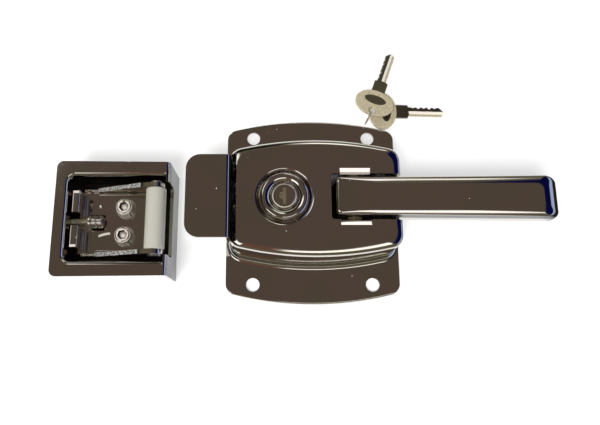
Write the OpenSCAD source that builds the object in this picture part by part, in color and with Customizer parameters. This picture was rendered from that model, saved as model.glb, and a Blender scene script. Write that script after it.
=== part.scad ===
// Cold room door latch: pressed case with lock and pull handle, swinging tongue,
// roller strike and two keys. X runs along the handle, Z points out of the door.
// The origin is the centre of the four fixing holes, on the back plane.

/* [Case] */
// Width of the case flange
case_w = 110; // [104:1:120]
// Height of the case flange at its middle
case_h = 121.6; // [118:0.2:132]
// Radius of the bowed upper and lower flange edges
case_bow_r = 210; // [180:5:260]
// Radius of the flange corners
case_corner_r = 7; // [4:0.5:10]
// Thickness of the pressed sheet
case_sheet = 2.2; // [1.8:0.1:2.6]
// Height of the dome above the back plane
dome_h = 38; // [35:0.5:42]
// Width of the flange beside the dome
flange_side = 3; // [3:0.1:6]
// Width of the flange above and below the dome
flange_end = 24.4; // [22:0.2:27]
// Radius of the bowed upper and lower walls
dome_bow_r = 200; // [170:5:250]
// Plan radius of the dome corners
dome_corner_r = 9; // [7:0.5:12]
// Radius round the top edge of the dome
dome_edge_r = 4.6; // [3:0.2:6]
// Radius of the fillet at the foot of the dome
dome_foot_r = 2.8; // [1.5:0.1:3]
// Draft of the walls over their height
dome_draft = 0.8; // [0.2:0.1:1.4]
// Distance of the fixing holes from the side edges of the flange
hole_side = 17.25; // [14:0.25:20]
// Distance of the fixing holes from the bowed edges of the flange at its middle
hole_end = 12.3; // [11:0.1:14]
// Diameter of the fixing holes
hole_d = 8.5; // [5:0.1:9]

/* [Lock] */
// Distance of the lock from the middle of the case
lock_offset = 18.5; // [16:0.5:20]
// Diameter of the pressed dish round the lock
dish_d = 31.6; // [30:0.2:35]
// Depth of the dish
dish_depth = 3; // [2:0.1:4]
// Radius round the rim of the dish
dish_rim_r = 1.8; // [0.8:0.1:2]
// Diameter of the lock cylinder body
cylinder_d = 17; // [16:0.2:18.4]
// Diameter of the flange of the lock cylinder
cylinder_flange_d = 27.4; // [25:0.2:29]
// Diameter of the turning plug
plug_d = 14.3; // [13:0.1:14.8]
// Outer diameter of the bezel ring
bezel_d = 28.4; // [26:0.2:29]
// Height of the bezel ring
bezel_h = 4.2; // [3:0.1:5]
// Length of the lock cylinder below the dish floor
cylinder_len = 23; // [20:0.5:25]
// Width across the flats of the lock nut
lock_nut_af = 22; // [20:0.5:23]
// Reach of the lock cam from the lock axis
cam_reach = 12; // [9:0.5:12.5]

/* [Handle] */
// Length of the handle
handle_len = 133; // [110:0.5:150]
// Width of the handle at its pivot end
handle_w = 22.4; // [20:0.2:23]
// Width of the handle at its free end
handle_end_w = 24; // [22:0.2:27]
// Depth of the handle
handle_depth = 16; // [13:0.5:17]
// Height of the handle above the dome
handle_rise = 3; // [2:0.2:4]
// Radius along the top edges of the handle
handle_edge_r = 3; // [2:0.2:4]
// Radius of the drop at the free end
handle_end_r = 12; // [8:0.5:12.5]
// Wall of the handle
handle_wall = 2; // [1.6:0.1:2.6]
// Left edge of the handle slot from the middle of the case
slot_x = 9.2; // [8:0.1:10]
// Gap between the handle and the left edge of its slot
handle_end_gap = 2.4; // [2.2:0.1:3]
// Width of the handle slot
slot_w = 27.8; // [26:0.2:29]
// Gap between the handle and the sill of its slot
slot_gap = 0.4; // [0.3:0.1:2]
// Distance of the handle pin from the left edge of the slot
handle_pin_dx = 14.3; // [13:0.1:16]
// Distance of the handle pin below the dome top
handle_pin_drop = 7.2; // [7.2:0.1:8]
// Diameter of the handle and tongue pins
pin_d = 5; // [4:0.1:5.4]
// Length of the rolled pivot lips
lip_len = 18; // [15:0.5:20]
// Radius of the rolled pivot lips
lip_r = 3.3; // [2.8:0.1:4]

/* [Tongue] */
// Reach of the tongue from the case edge
tongue_reach = 21.5; // [17:0.5:26]
// Width of the tongue
tongue_w = 50; // [46:0.5:52]
// Thickness of the tongue plate
tongue_t = 2.6; // [2:0.1:3]
// Height of the tongue above the dome
tongue_rise = 3; // [2:0.2:4]
// Radius of the free corners of the tongue
tongue_corner_r = 8.5; // [5:0.5:12]
// Radius of the bend where the tongue enters the case
tongue_bend_r = 3.5; // [3:0.1:5]
// Gap between the tongue and the dome
tongue_gap = 3.5; // [3.4:0.1:5]
// Width of the hook under the tongue
hook_w = 36; // [30:0.5:38]
// Clear height between the tongue plate and the hook nose
hook_gap = 12.6; // [12.4:0.1:14]
// Reach of the hook nose from its wall
hook_reach = 8; // [6:0.5:9]

/* [Strike] */
// Gap between the tongue and the strike front panel
strike_gap = 10.2; // [6:0.2:40]
// Height of the strike mid-line against the case
strike_y = -12.3; // [-20:0.1:10]
// Length of the strike along the door
strike_len = 67.4; // [64:0.2:72]
// Height of the strike
strike_w = 69.2; // [66:0.2:76]
// Depth of the strike from brim to base
strike_h = 36; // [34:0.5:40]
// Thickness of the strike sheet
strike_sheet = 2; // [1.6:0.1:2.4]
// Width of the brim at the closed end
brim_end = 7.1; // [6:0.1:8]
// Width of the brim along both sides
brim_side = 9.1; // [8:0.1:10]
// Depth of the pan below the brim
pan_depth = 19.1; // [18:0.1:21]
// Radius round the brim inner edge
pan_rim_r = 2.5; // [1.5:0.1:3]
// Width of the notch in the front panel
notch_w = 43.6; // [43:0.1:45]
// Depth of the notch below the brim
notch_depth = 17; // [15:0.2:18]
// Thickness of the roller carriage
carriage_t = 2.5; // [2:0.1:2.8]
// Diameter of the roller
roller_d = 12; // [10:0.2:12.4]
// Length of the roller
roller_len = 37; // [34:0.2:37.4]
// Distance of the roller axis from the front panel
roller_dx = 8.2; // [8:0.1:10]
// Distance of the roller axis below the brim
roller_drop = 4; // [3.5:0.1:5]
// Diameter of the roller axle
axle_d = 6; // [5:0.1:6.4]
// Spacing of the two clamp screws
clamp_dy = 17.3; // [17:0.1:20]
// Distance of the clamp screws from the front panel
clamp_dx = 28.6; // [26:0.2:30]
// Diameter of the clamp screws
clamp_d = 6; // [5:0.1:6.2]
// Height of the clamp screw tips above the back plane
clamp_tip = 1.2; // [0.4:0.1:5]
// Diameter of the adjusting screw
adjust_d = 5; // [4:0.1:5.4]
// Travel of the roller carriage each way
adjust_travel = 2; // [1:0.1:2]

/* [Keys] */
// Length of the key bow across the blade
bow_len = 25.6; // [22:0.2:27]
// Width of the key bow along the blade
bow_w = 18.8; // [17:0.2:20]
// Distance from the bow centre to the key tip
key_reach = 42; // [36:0.5:46]
// Thickness of the keys
key_t = 2; // [1.6:0.1:2.2]
// Width of the key blade
blade_w = 6; // [5:0.1:7]
// Wire diameter of the key ring
ring_wire = 1; // [0.8:0.1:1.2]

/* [Hidden] */
$fn = 48;
chrome = [0.55, 0.53, 0.51];
zinc = [0.66, 0.66, 0.63];
nylon = [0.86, 0.85, 0.80];
nickel = [0.72, 0.66, 0.50];
// Clearances: running fits, fixed fits, flat faces that slide, and overshoot of cuts
run = 0.05;
fit = 0.02;
slide = 0.1;
over = 1;
// Steps of the arcs in the swept outlines
corner_steps = 6;
bow_steps = 10;
round_steps = 5;

// Heights and places that several pieces share
dome_w = case_w - 2 * flange_side;
dome_span = case_h - 2 * flange_end;
hole_dx = case_w - 2 * hole_side;
hole_dy = case_h - 2 * hole_end;
dome_top_in = dome_h - case_sheet;
handle_top = dome_h + handle_rise;
handle_bottom = handle_top - handle_depth;
slot_drop = dome_h - handle_bottom + slot_gap;
handle_x0 = slot_x + handle_end_gap;
handle_inner_corner = 2.4;
handle_outer_corner = 4;
handle_min_edge = 0.6;
handle_pin_x = slot_x + handle_pin_dx;
handle_pin_z = dome_h - handle_pin_drop;
ear_drop = 5;
ear_y0 = slot_w / 2;
lip_y = ear_y0 + lip_r;
lock_x = -lock_offset;
dish_z = dome_h - dish_depth;
lock_bore_gap = 0.1;
flange_t = 1;
nut_t = 4;
lock_end = dish_z - cylinder_len;
cam_t = 2.4;
cam_root = 2.8;
cam_screw_d = 3;
bezel_shoulder = 1.8;
bezel_fall = 1.5;
bezel_foot = 0.6;
cylinder_rise = 0.3;
cylinder_rim = dish_z + flange_t + bezel_h - bezel_fall + cylinder_rise;
plug_face = 0.5;
dome_top_x = dome_w / 2 - dome_draft - dome_edge_r;
opening_x = -dome_top_x;
opening_gap = 1.5;
tongue_top = dome_h + tongue_rise;
tongue_under = tongue_top - tongue_t;
tongue_x1 = opening_x - tongue_gap;
tongue_x0 = -case_w / 2 - tongue_reach;
tongue_pin_in = 6;
tongue_pin_drop = 14;
tongue_pin_x = tongue_x1 + tongue_pin_in;
tongue_pin_z = dome_h - tongue_pin_drop;
opening_sill = tongue_pin_z - 10;
arm_t = 3;
arm_gap = 1.4;
arm_y0 = lock_nut_af / sqrt(3) + arm_gap;
arm_y1 = arm_y0 + arm_t;
bracket_gap = 0.4;
bracket_y0 = arm_y1 + bracket_gap;
bracket_t = 2;
tail_drop = 17.6;
tail_z = dome_h - tail_drop;
tail_t = 3;
tail_x0 = handle_x0 - 15.6;
bar_gap = 1.3;
bar_z = tail_z - bar_gap;
bar_end = handle_x0 - 1.2;
bar_x0 = tail_x0 - 2;
clip_t = 0.8;
clip_end = 1.2;
clip_ratio = 1.5;
groove = 0.4;

// Strike, in its own frame with the front panel face at x = 0
strike_x = tongue_x0 - strike_gap;
pan_x0 = -strike_len + brim_end;
pan_hy = strike_w / 2 - brim_side;
pan_z = strike_h - pan_depth;
panel_inset = 0.6;
panel_hy = strike_w / 2 - panel_inset;
carriage_z = pan_z + slide;
carriage_top = carriage_z + carriage_t;
roller_gap = 0.3;
cheek_y0 = roller_len / 2 + roller_gap;
cheek_y1 = cheek_y0 + carriage_t;
roller_z = strike_h - roller_drop;
adjust_lift = 2.8;
adjust_z = carriage_top + adjust_lift;
pan_floor_r = 1;
travel_gap = 0.3;
tab_x0 = pan_x0 + adjust_travel + pan_floor_r + travel_gap;
base_x1 = -strike_sheet - adjust_travel - 2 * travel_gap;
notch_r = 3;
adjust_head = 7;
adjust_head_d = 8.5;
adjust_washer_t = 1.4;
adjust_washer_d = 10;
adjust_reach = 4.6;
adjust_x = tab_x0 + carriage_t + adjust_reach;
washer_t = 1.6;
washer_d = 12.4;
head_d = 10;
head_h = 6;
clamp_seat = carriage_top + slide;
clamp_len = clamp_seat + washer_t - clamp_tip;

// Keys: the lower key lies on the flange edge, the upper one on the lower one
key_hole_d = 4.4;
key_hole_dx = 5.8;
key_b_lift = 0.45;
key_a_lift = 1.7;
key_b_z = case_sheet + key_b_lift;
key_b_at = [case_w / 2 - 6.6, case_h / 2 + 6.7, key_b_z];
key_a_z = key_b_z + key_t + key_a_lift;
key_a_at = key_b_at + [-5.9, 4.1, key_a_z - key_b_z];
key_a_turn = 69.8;
ring_r = 5.4;

// Points of an arc about a centre
function arc(cx, cy, r, a0, a1, n) =
    [for (i = [0:n]) let (a = a0 + (a1 - a0) * i / n) [cx + r * cos(a), cy + r * sin(a)]];

// Points of an arc without its two ends
function inner_arc(cx, cy, r, a0, a1, n) =
    [for (i = [1:n - 1]) let (a = a0 + (a1 - a0) * i / n) [cx + r * cos(a), cy + r * sin(a)]];

// Outline with straight sides, bowed upper and lower edges and round corners
function bowed_outline(hx, hy, bow_r, corner_r) =
    let (oy = hy - bow_r,
         cx = hx - corner_r,
         cy = oy + sqrt(pow(bow_r - corner_r, 2) - cx * cx),
         a = atan2(cy - oy, cx))
    concat(arc(cx, cy, corner_r, 0, a, corner_steps),
           inner_arc(0, oy, bow_r, a, 180 - a, bow_steps),
           arc(-cx, cy, corner_r, 180 - a, 180, corner_steps),
           arc(-cx, -cy, corner_r, 180, 180 + a, corner_steps),
           inner_arc(0, -oy, bow_r, 180 + a, 360 - a, bow_steps),
           arc(cx, -cy, corner_r, 360 - a, 360, corner_steps));

// Rounded outline from x0 to x1 with its own half height and corner radius at each end
function bar_outline(x0, x1, h0, h1, r0, r1) =
    concat(arc(x1 - r1, h1 - r1, r1, 0, 90, corner_steps),
           arc(x0 + r0, h0 - r0, r0, 90, 180, corner_steps),
           arc(x0 + r0, r0 - h0, r0, 180, 270, corner_steps),
           arc(x1 - r1, r1 - h1, r1, 270, 360, corner_steps));

// Solid through a stack of like outlines, each given as [z, points]
module stack(levels) {
    n = len(levels[0][1]);
    points = [for (l = levels) for (p = l[1]) [p[0], p[1], l[0]]];
    last = (len(levels) - 1) * n;
    sides = [for (k = [0:len(levels) - 2]) for (i = [0:n - 1])
             let (j = (i + 1) % n, a = k * n, b = a + n) [a + i, b + i, b + j, a + j]];
    caps = [[for (i = [0:n - 1]) i], [for (i = [n - 1:-1:0]) last + i]];
    polyhedron(points, concat(sides, caps));
}

// Flat profile in X and Z drawn out along Y
module along_y(y0, y1) {
    translate([0, y1, 0]) rotate([90, 0, 0]) linear_extrude(y1 - y0) children();
}

// Flat profile in Y and Z drawn out along X
module along_x(x0, x1) {
    translate([x0, 0, 0]) rotate([90, 0, 90]) linear_extrude(x1 - x0) children();
}

// Round bar along Y
module rod_y(x, z, d, y0, y1) {
    translate([x, y1, z]) rotate([90, 0, 0]) cylinder(d = d, h = y1 - y0);
}

// Round bar along X
module rod_x(y, z, d, x0, x1) {
    translate([x0, y, z]) rotate([0, 90, 0]) cylinder(d = d, h = x1 - x0);
}

// The same shape on both sides of the mid plane
module both_sides() {
    children();
    mirror([0, 1, 0]) children();
}

// Levels of the dome; skin is 0 outside and the sheet thickness inside
function dome_level(z, o, skin) =
    [z, bowed_outline(dome_w / 2 + o - skin, dome_span / 2 + o - skin,
                      dome_bow_r + o - skin, dome_corner_r + o - skin)];

function dome_rounds(skin) =
    [for (i = [0:round_steps]) let (a = 90 * i / round_steps, r = dome_edge_r - skin)
        dome_level(dome_h - dome_edge_r + r * sin(a),
                   -dome_draft - r * (1 - cos(a)), skin)];

function dome_outer() =
    concat([dome_level(0, dome_foot_r, 0)],
           [for (i = [0:round_steps]) let (a = 90 * i / round_steps)
               dome_level(case_sheet + dome_foot_r * (1 - cos(a)), dome_foot_r * (1 - sin(a)), 0)],
           dome_rounds(0));

function dome_inner() =
    concat([dome_level(-over, 0, case_sheet)], dome_rounds(case_sheet));

// Handle slot through the dome top and the right wall, with round inner corners
module handle_slot() {
    corner = 2;
    z0 = dome_h - slot_drop;
    depth = slot_drop + over;
    translate([slot_x + corner, -slot_w / 2, z0]) cube([case_w, slot_w, depth]);
    translate([slot_x, corner - slot_w / 2, z0]) cube([case_w, slot_w - 2 * corner, depth]);
    for (s = [-1, 1])
        translate([slot_x + corner, s * (slot_w / 2 - corner), z0]) cylinder(r = corner, h = depth);
    translate([handle_pin_x - lip_len / 2, -lip_y, z0]) cube([lip_len, 2 * lip_y, depth]);
}

// Lip that rolls down from the dome top into a pivot ear
module pivot_ear() {
    bite = 0.5;
    bend_z = dome_h - lip_r;
    difference() {
        along_x(handle_pin_x - lip_len / 2, handle_pin_x + lip_len / 2) {
            intersection() {
                translate([lip_y, bend_z]) difference() {
                    circle(r = lip_r);
                    circle(r = lip_r - case_sheet);
                }
                translate([ear_y0, bend_z]) square([lip_r, lip_r]);
            }
            translate([ear_y0, handle_pin_z - ear_drop])
                square([case_sheet, bend_z - handle_pin_z + ear_drop]);
            translate([lip_y, dome_top_in]) square([bite, case_sheet]);
        }
        rod_y(handle_pin_x, handle_pin_z, pin_d + 2 * fit, ear_y0 - over, lip_y + over);
    }
}

// Outer form of the pressed dish below the dome top
module dish_cup() {
    translate([lock_x, 0, dish_z - case_sheet])
        cylinder(d = dish_d + 2 * case_sheet, h = dish_depth + case_sheet / 2);
}

// Hollow of the dish with its rounded rim
module dish_hollow() {
    r = dish_d / 2;
    translate([lock_x, 0, 0]) rotate_extrude()
        polygon(concat([[0, dish_z], [r, dish_z]],
                       arc(r + dish_rim_r, dome_h - dish_rim_r, dish_rim_r, 180, 90, round_steps),
                       [[r + dish_rim_r, dome_h + over], [0, dome_h + over]]));
    translate([lock_x, 0, dish_z - case_sheet - over])
        cylinder(d = cylinder_d + 2 * lock_bore_gap, h = case_sheet + 2 * over);
}

module case() {
    color(chrome) {
        difference() {
            union() {
                difference() {
                    union() {
                        linear_extrude(case_sheet)
                            polygon(bowed_outline(case_w / 2, case_h / 2, case_bow_r, case_corner_r));
                        stack(dome_outer());
                    }
                    stack(dome_inner());
                }
                dish_cup();
            }
            dish_hollow();
            handle_slot();
            translate([opening_x - case_w, -tongue_w / 2 - opening_gap, opening_sill])
                cube([case_w, tongue_w + 2 * opening_gap, dome_h]);
            for (x = [-1, 1], y = [-1, 1])
                translate([x * hole_dx / 2, y * hole_dy / 2, -over])
                    cylinder(d = hole_d, h = case_sheet + 2 * over);
        }
        both_sides() pivot_ear();
    }
}

// Bracket welded under the dome top, with two ears for the tongue pin
module pin_bracket() {
    ear_r = 5;
    web_x0 = tongue_pin_x - 1;
    web_x1 = lock_x - dish_d / 2 - case_sheet - 0.4;
    color(zinc) {
        translate([web_x0, -bracket_y0 - bracket_t, dome_top_in - bracket_t])
            cube([web_x1 - web_x0, 2 * (bracket_y0 + bracket_t), bracket_t]);
        both_sides() difference() {
            along_y(bracket_y0, bracket_y0 + bracket_t) {
                translate([tongue_pin_x, tongue_pin_z]) circle(r = ear_r);
                translate([web_x0, tongue_pin_z]) square([web_x1 - web_x0, dome_top_in - tongue_pin_z]);
            }
            rod_y(tongue_pin_x, tongue_pin_z, pin_d + 2 * fit,
                  bracket_y0 - over, bracket_y0 + bracket_t + over);
        }
    }
}

// Levels of the handle; skin is 0 outside and the wall inside
function handle_level(z, skin) =
    let (top = handle_top - skin,
         edge = max(handle_edge_r - skin, handle_min_edge),
         drop = handle_end_r - skin,
         e = z > top - edge ? edge - sqrt(edge * edge - pow(z - top + edge, 2)) : 0,
         d = z > top - drop ? drop - sqrt(drop * drop - pow(z - top + drop, 2)) : 0)
    [z, bar_outline(handle_x0 + skin + e, handle_x0 + handle_len - skin - d,
                    handle_w / 2 - skin - e, handle_end_w / 2 - skin - e,
                    handle_inner_corner, handle_outer_corner)];

function handle_levels(skin, z0) =
    let (top = handle_top - skin,
         edge = max(handle_edge_r - skin, handle_min_edge),
         drop = handle_end_r - skin)
    concat([handle_level(z0, skin)],
           [for (i = [0:3]) handle_level(top - drop + (drop - edge) * i / 4, skin)],
           [for (i = [0:round_steps]) handle_level(top - edge + edge * sin(90 * i / round_steps), skin)]);

module handle() {
    tail_hy = handle_w / 2 - handle_wall;
    color(chrome) difference() {
        union() {
            difference() {
                stack(handle_levels(0, handle_bottom));
                stack(handle_levels(handle_wall, handle_bottom - over));
            }
            translate([tail_x0, -tail_hy, tail_z])
                cube([handle_x0 + handle_wall - tail_x0, 2 * tail_hy, tail_t]);
            translate([handle_x0, -tail_hy, tail_z])
                cube([2 * handle_wall, 2 * tail_hy, handle_top - handle_wall - tail_z - over]);
        }
        rod_y(handle_pin_x, handle_pin_z, pin_d + 2 * run, -handle_w, handle_w);
    }
}

// Pin along Y with a clip groove near each end
module grooved_pin(x, z, reach) {
    difference() {
        rod_y(x, z, pin_d, -reach, reach);
        both_sides() difference() {
            rod_y(x, z, pin_d + over, reach - clip_end - clip_t, reach - clip_end);
            rod_y(x, z, pin_d - 2 * groove, reach - clip_end - clip_t, reach - clip_end);
        }
    }
}

// Open spring clips that sit in the grooves of a pin
module pin_clips(x, z, reach) {
    gap = pin_d * 0.6;
    both_sides() difference() {
        rod_y(x, z, pin_d * clip_ratio, reach - clip_end - clip_t + fit, reach - clip_end - fit);
        rod_y(x, z, pin_d - 2 * groove + 2 * fit, reach - clip_end - clip_t - over, reach);
        translate([x - gap / 2, reach - clip_end - clip_t - over, z - pin_d])
            cube([gap, clip_t + 2 * over, pin_d]);
    }
}

handle_pin_reach = ear_y0 + case_sheet + fit + clip_t + clip_end;
tongue_pin_reach = bracket_y0 + bracket_t + fit + clip_t + clip_end;

module handle_pin() {
    color(zinc) grooved_pin(handle_pin_x, handle_pin_z, handle_pin_reach);
}

module handle_pin_clips() {
    color(zinc) pin_clips(handle_pin_x, handle_pin_z, handle_pin_reach);
}

// Plastic washers between the handle and the pivot ears
module handle_washers() {
    side_gap = 0.35;
    washer_ratio = 1.8;
    y0 = handle_w / 2 + side_gap;
    color(nylon) both_sides() difference() {
        rod_y(handle_pin_x, handle_pin_z, pin_d * washer_ratio, y0, ear_y0);
        rod_y(handle_pin_x, handle_pin_z, pin_d + 2 * fit, y0 - over, ear_y0 + over);
    }
}

// Side view of the tongue: plate, bend and leg
module tongue_profile() {
    bend_x = tongue_x1 - tongue_bend_r;
    bend_z = tongue_top - tongue_bend_r;
    leg_z = tongue_pin_z - 6;
    translate([tongue_x0, tongue_under]) square([bend_x - tongue_x0, tongue_t]);
    intersection() {
        translate([bend_x, bend_z]) difference() {
            circle(r = tongue_bend_r);
            circle(r = tongue_bend_r - tongue_t);
        }
        translate([bend_x, bend_z]) square(tongue_bend_r);
    }
    translate([tongue_x1 - tongue_t, leg_z]) square([tongue_t, bend_z - leg_z]);
}

// Plan of the tongue with its two round free corners
module tongue_plan() {
    r = tongue_corner_r;
    translate([tongue_x0 + r, -tongue_w / 2]) square([tongue_x1 - tongue_x0, tongue_w]);
    translate([tongue_x0, r - tongue_w / 2]) square([2 * r, tongue_w - 2 * r]);
    for (s = [-1, 1])
        translate([tongue_x0 + r, s * (tongue_w / 2 - r)]) circle(r = r);
}

// Side view of the hook that catches behind the roller
module hook_profile() {
    wall_x = tongue_x0 + 19;
    wall_t = 3.5;
    nose_z = tongue_under - hook_gap;
    nose_t = 5.4;
    tip = 2.2;
    polygon([[wall_x, tongue_under + tongue_t / 2], [wall_x - wall_t, tongue_under + tongue_t / 2],
             [wall_x - wall_t, nose_z], [wall_x - wall_t - hook_reach, nose_z],
             [wall_x - wall_t - hook_reach, nose_z - tip], [wall_x - wall_t - tip, nose_z - nose_t],
             [wall_x, nose_z - nose_t]]);
}

// Side view of the inner arm from the tongue leg over the pin to the cross bar
module arm_profile() {
    boss_r = 5.6;
    translate([tongue_pin_x, tongue_pin_z]) circle(r = boss_r);
    polygon([[tongue_x1 - tongue_t, tongue_pin_z - boss_r], [tongue_x1 - tongue_t, tongue_pin_z + boss_r],
             [tongue_pin_x, tongue_pin_z + boss_r], [bar_x0, bar_z], [bar_end, bar_z],
             [bar_end, bar_z - tail_t], [bar_x0 - 2, bar_z - 2 * tail_t],
             [tongue_pin_x, tongue_pin_z - boss_r]]);
}

module tongue() {
    color(chrome) difference() {
        union() {
            intersection() {
                along_y(-tongue_w / 2, tongue_w / 2) tongue_profile();
                linear_extrude(tongue_top) tongue_plan();
            }
            along_y(-hook_w / 2, hook_w / 2) hook_profile();
            both_sides() along_y(arm_y0, arm_y1) arm_profile();
            translate([bar_x0, -arm_y1, bar_z - tail_t]) cube([bar_end - bar_x0, 2 * arm_y1, tail_t]);
        }
        rod_y(tongue_pin_x, tongue_pin_z, pin_d + 2 * run, -tongue_w, tongue_w);
    }
}

module tongue_pin() {
    color(zinc) grooved_pin(tongue_pin_x, tongue_pin_z, tongue_pin_reach);
}

module tongue_pin_clips() {
    color(zinc) pin_clips(tongue_pin_x, tongue_pin_z, tongue_pin_reach);
}

// Centre line of the torsion spring: a leg to the tongue, the coil, a leg to the bracket
spring_wire = 1.4;
spring_r = 4.2;
spring_turns = 4.5;
spring_pitch = 1.9;
spring_leg = 6.4;
spring_steps = 14;

function spring_path() =
    let (n = floor(spring_turns * spring_steps), a0 = 180, half = spring_turns * spring_pitch / 2)
    concat([[-spring_r, -half, spring_leg]],
           [for (i = [0:n]) let (a = a0 - 360 * i / spring_steps)
               [spring_r * cos(a), -half + spring_pitch * i / spring_steps, spring_r * sin(a)]],
           [[spring_r, half, spring_leg]]);

// Round tube along a list of points, its rings standing square to the path
module tube(path, d, sides) {
    n = len(path);
    function unit(v) = v / norm(v);
    function heading(i) = unit(path[min(i + 1, n - 1)] - path[max(i - 1, 0)]);
    points = [for (i = [0:n - 1])
              let (t = heading(i), u = unit(cross(t, [0, 1, 0.13])), w = cross(u, t))
              for (k = [0:sides - 1]) let (a = 360 * k / sides) path[i] + d / 2 * (cos(a) * u + sin(a) * w)];
    walls = [for (i = [0:n - 2]) for (k = [0:sides - 1])
             let (j = (k + 1) % sides, a = i * sides, b = a + sides) [a + k, a + j, b + j, b + k]];
    ends = [[for (k = [sides - 1:-1:0]) k], [for (k = [0:sides - 1]) (n - 1) * sides + k]];
    polyhedron(points, concat(walls, ends));
}

module tongue_spring() {
    color(zinc) translate([tongue_pin_x, 0, tongue_pin_z]) tube(spring_path(), spring_wire, 8);
}

// Lock cylinder with its flange, bored for the plug
module lock_cylinder() {
    color(zinc) translate([lock_x, 0, 0]) difference() {
        union() {
            translate([0, 0, lock_end]) cylinder(d = cylinder_d, h = cylinder_rim - lock_end);
            translate([0, 0, dish_z]) cylinder(d = cylinder_flange_d, h = flange_t);
        }
        translate([0, 0, lock_end - over]) cylinder(d = plug_d + 2 * run, h = cylinder_len + dome_h);
    }
}

// Convex ring round the face of the lock, steep outside and falling gently towards the plug
module lock_bezel() {
    r0 = cylinder_d / 2 + lock_bore_gap;
    crown_r = bezel_d / 2 - bezel_shoulder;
    z0 = dish_z + flange_t;
    color(chrome) translate([lock_x, 0, 0]) rotate_extrude()
        polygon(concat([[r0, z0], [bezel_d / 2, z0]],
                       [for (i = [0:round_steps]) let (a = 90 * i / round_steps)
                           [crown_r + bezel_shoulder * cos(a),
                            z0 + bezel_foot + (bezel_h - bezel_foot) * sin(a)]],
                       [for (i = [1:round_steps]) let (a = 90 * i / round_steps)
                           [crown_r - (crown_r - r0) * sin(a),
                            z0 + bezel_h - bezel_fall * (1 - cos(a))]]));
}

module lock_nut() {
    color(zinc) translate([lock_x, 0, dish_z - case_sheet - nut_t]) difference() {
        cylinder(d = lock_nut_af / cos(30), h = nut_t, $fn = 6);
        translate([0, 0, -over]) cylinder(d = cylinder_d + 2 * fit, h = nut_t + 2 * over);
    }
}

// Turning plug with its keyway and a stem for the cam
module lock_plug() {
    face_z = cylinder_rim + plug_face;
    keyway = [2.2, 10, 20];
    groove_d = 4.4;
    color(zinc) translate([lock_x, 0, 0]) difference() {
        union() {
            translate([0, 0, lock_end]) cylinder(d = plug_d, h = face_z - lock_end);
            translate([0, 0, lock_end - cam_t]) cylinder(r = cam_root, h = cam_t);
        }
        translate([-keyway[0] / 2, -keyway[1] / 2, face_z - keyway[2]]) cube(keyway + [0, 0, over]);
        translate([-keyway[0] / 2, 0, face_z - keyway[2]]) cylinder(d = groove_d, h = keyway[2] + over);
        translate([0, 0, lock_end - cam_t - over]) cylinder(d = cam_screw_d + 2 * fit, h = cam_t + 5);
    }
}

module lock_cam() {
    tip_r = 4;
    root_r = 6;
    color(zinc) translate([lock_x, 0, lock_end - cam_t]) difference() {
        linear_extrude(cam_t) {
            circle(r = root_r);
            translate([tip_r - cam_reach, 0]) circle(r = tip_r);
            translate([tip_r - cam_reach, -tip_r]) square([cam_reach - tip_r, 2 * tip_r]);
        }
        translate([0, 0, -over]) cylinder(r = cam_root + fit, h = cam_t + 2 * over);
    }
}

module cam_screw() {
    cap_h = 2.6;
    cap_d = 8.4;
    bite = 3;
    color(zinc) translate([lock_x, 0, lock_end - cam_t]) difference() {
        union() {
            translate([0, 0, -cap_h]) cylinder(d = cap_d, h = cap_h);
            cylinder(d = cam_screw_d, h = cam_t + bite);
        }
        translate([-cap_d, -0.6, -cap_h - over]) cube([2 * cap_d, 1.2, over + 1.2]);
    }
}

// Places the strike pieces beside the case
module at_strike() {
    translate([strike_x, strike_y, 0]) children();
}

// Levels of the pan hollow, with round floor corners and a rounded rim
function pan_level(z, o) =
    [z, bar_outline(pan_x0 - o, -strike_sheet, pan_hy + o, pan_hy + o, 4 + o, 1)];

function pan_hollow() =
    concat([for (i = [0:3]) let (a = 30 * i)
               pan_level(pan_z + pan_floor_r * (1 - cos(a)), pan_floor_r * (sin(a) - 1))],
           [for (i = [0:round_steps]) let (a = 90 * i / round_steps)
               pan_level(strike_h - pan_rim_r * (1 - sin(a)), pan_rim_r * (1 - cos(a)))],
           [pan_level(strike_h + over, pan_rim_r)]);

// Round-bottomed notch in the front panel, seen along X
module notch_profile() {
    r = notch_r;
    z0 = strike_h - notch_depth;
    translate([-notch_w / 2, z0 + r]) square([notch_w, notch_depth + over]);
    translate([r - notch_w / 2, z0]) square([notch_w - 2 * r, notch_depth]);
    for (s = [-1, 1])
        translate([s * (notch_w / 2 - r), z0 + r]) circle(r = r);
}

module strike_tray() {
    fold_r = 2.6;
    corner = 4;
    color(chrome) at_strike() difference() {
        union() {
            translate([0, 0, strike_h - strike_sheet]) linear_extrude(strike_sheet)
                polygon(bar_outline(-strike_len, 0, strike_w / 2, panel_hy, corner, 0.2));
            translate([0, 0, pan_z - strike_sheet]) linear_extrude(pan_depth + strike_sheet / 2)
                polygon(bar_outline(pan_x0 - strike_sheet, 0, pan_hy + strike_sheet, pan_hy + strike_sheet,
                                    corner + strike_sheet, 0.2));
            translate([-strike_sheet, -panel_hy, 0]) cube([strike_sheet, 2 * panel_hy, strike_h]);
        }
        stack(pan_hollow());
        along_x(-strike_sheet - pan_rim_r, over) notch_profile();
        along_y(-strike_w, strike_w) difference() {
            translate([-fold_r, strike_h - fold_r]) square(fold_r + over);
            translate([-fold_r, strike_h - fold_r]) circle(r = fold_r);
        }
        for (s = [-1, 1])
            translate([-clamp_dx, s * clamp_dy / 2, pan_z - strike_sheet - over])
                cylinder(d = clamp_d + 0.4, h = strike_sheet + 2 * over);
        rod_x(0, adjust_z, adjust_d + 2 * run, pan_x0 - 2 * strike_sheet, pan_x0 + over);
    }
}

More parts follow.
